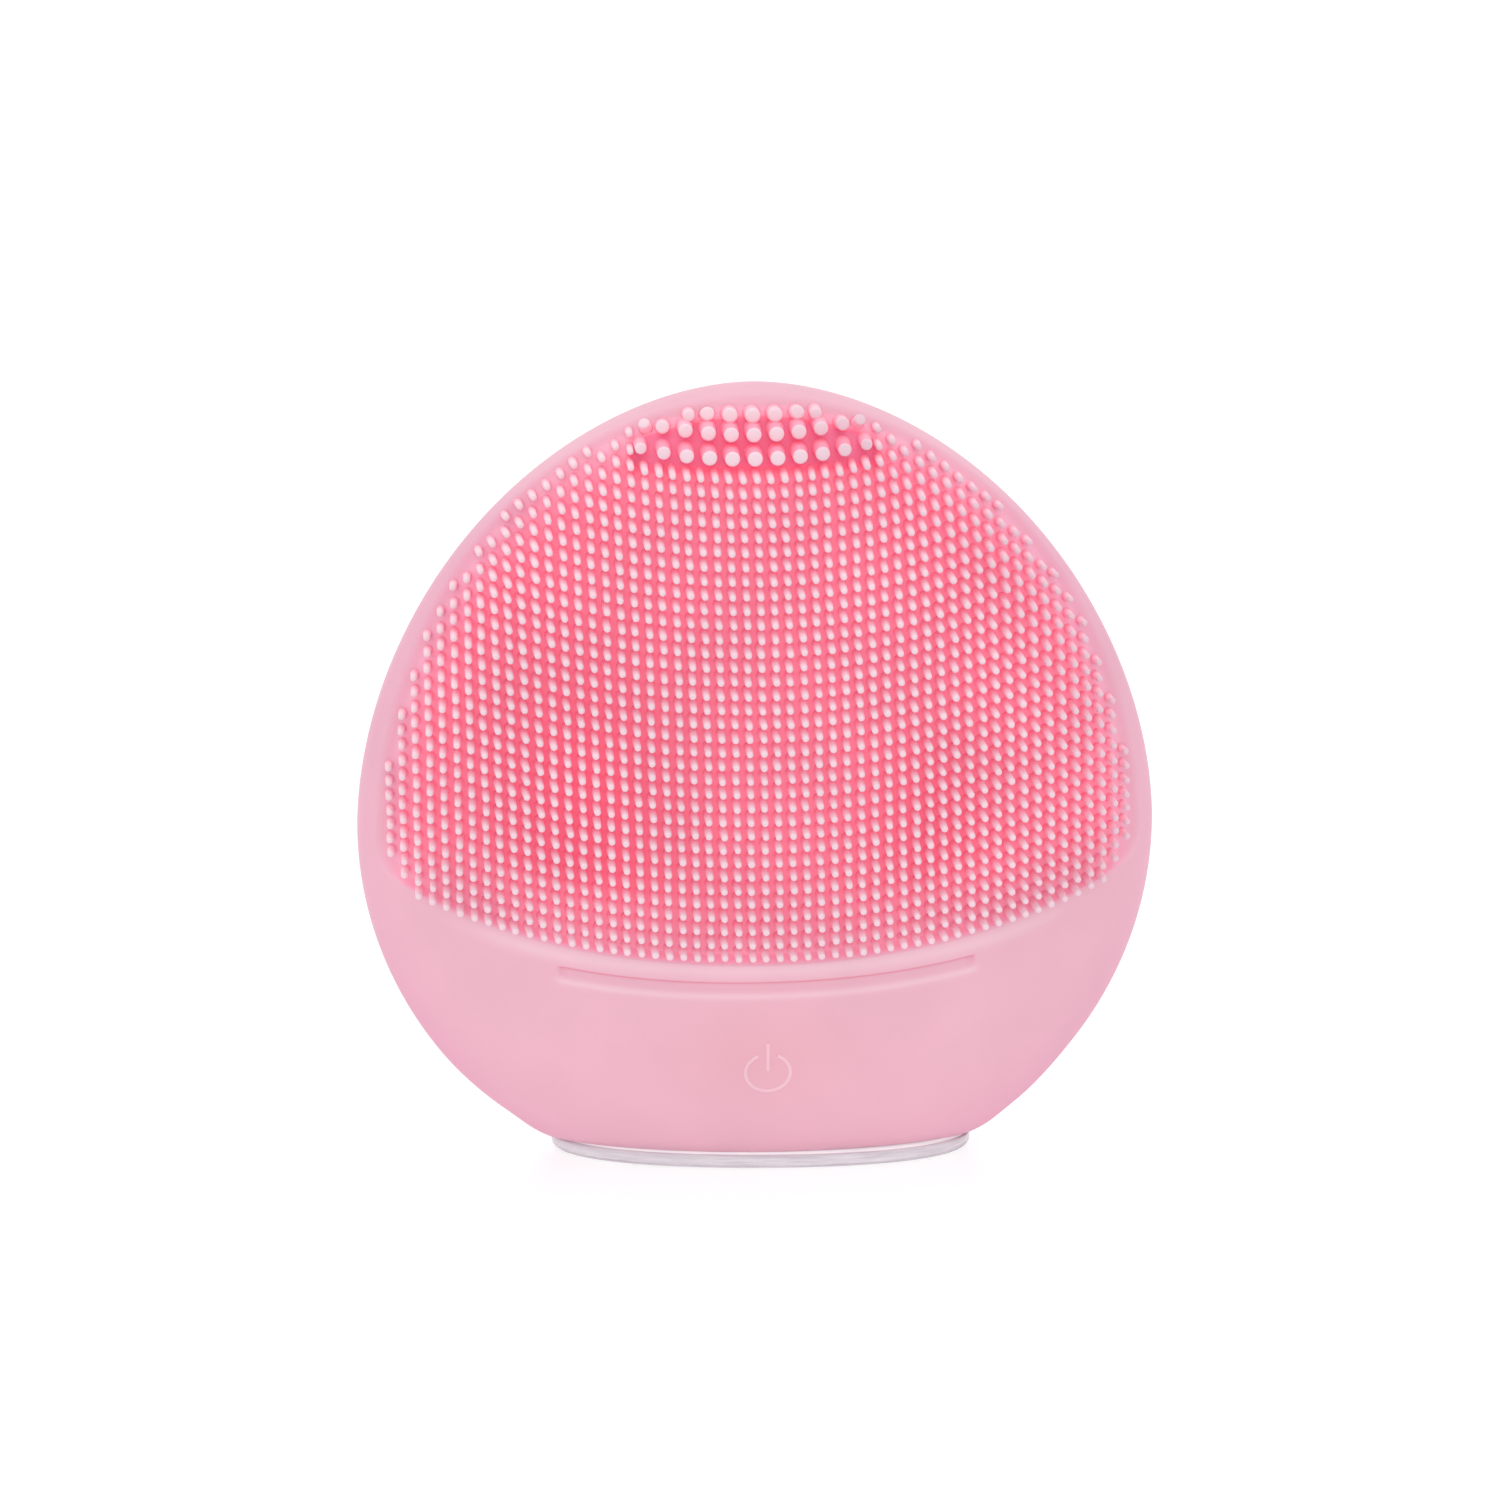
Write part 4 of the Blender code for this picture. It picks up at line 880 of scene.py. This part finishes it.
def build_stage():
    bm = bmesh.new()
    bmesh.ops.create_grid(bm, x_segments=2, y_segments=2, size=4.0)
    mesh = bpy.data.meshes.new("floor")
    bm.to_mesh(mesh)
    bm.free()
    floor = add_object("floor", mesh)
    look, tree, shader = new_material("floor")
    shader.inputs["Base Color"].default_value = (0.32, 0.32, 0.32, 1.0)
    shader.inputs["Emission Color"].default_value = (1.0, 1.0, 1.0, 1.0)
    shader.inputs["Emission Strength"].default_value = 0.70
    shader.inputs["Roughness"].default_value = 0.28
    shader.inputs["Specular IOR Level"].default_value = 0.35
    mesh.materials.append(look)
    world = bpy.data.worlds.new("studio")
    world.use_nodes = True
    world.node_tree.nodes["Background"].inputs["Color"].default_value = (1.0, 1.0, 1.0, 1.0)
    world.node_tree.nodes["Background"].inputs["Strength"].default_value = 0.95
    bpy.context.scene.world = world
    add_light("overhead", (0.0, -0.15, 0.75), (0.0, 0.0, 0.04), 0.8, 1.05)
    add_light("left_front", (-0.55, -0.6, 0.45), (0.0, 0.0, 0.04), 0.5, 0.35)


def add_light(name, place, aim, size, power):
    lamp = bpy.data.lights.new(name, "AREA")
    lamp.size = size
    lamp.energy = power
    item = add_object(name, lamp)
    item.location = place
    item.rotation_euler = (Vector(aim) - Vector(place)).to_track_quat("-Z", "Y").to_euler()


def build_camera():
    back = Vector((math.sin(CAMERA_AZIMUTH) * math.cos(CAMERA_ELEVATION),
                   -math.cos(CAMERA_AZIMUTH) * math.cos(CAMERA_ELEVATION),
                   math.sin(CAMERA_ELEVATION)))
    right = Vector((math.cos(CAMERA_AZIMUTH), math.sin(CAMERA_AZIMUTH), 0.0))
    up = back.cross(right)
    rolled_right = right * math.cos(CAMERA_ROLL) + up * math.sin(CAMERA_ROLL)
    rolled_up = up * math.cos(CAMERA_ROLL) - right * math.sin(CAMERA_ROLL)
    camera = add_object("camera", bpy.data.cameras.new("camera"))
    camera.data.lens = CAMERA_LENS
    camera.data.sensor_width = 36.0
    camera.data.clip_start = 0.01
    axes = Matrix((rolled_right, rolled_up, back)).transposed().to_4x4()
    camera.matrix_world = Matrix.Translation(CAMERA_AIM + back * CAMERA_DISTANCE) @ axes
    bpy.context.scene.camera = camera


bpy.context.scene.view_settings.view_transform = "Standard"
finish_cad_nodes()
build_brush()
build_stage()
build_camera()
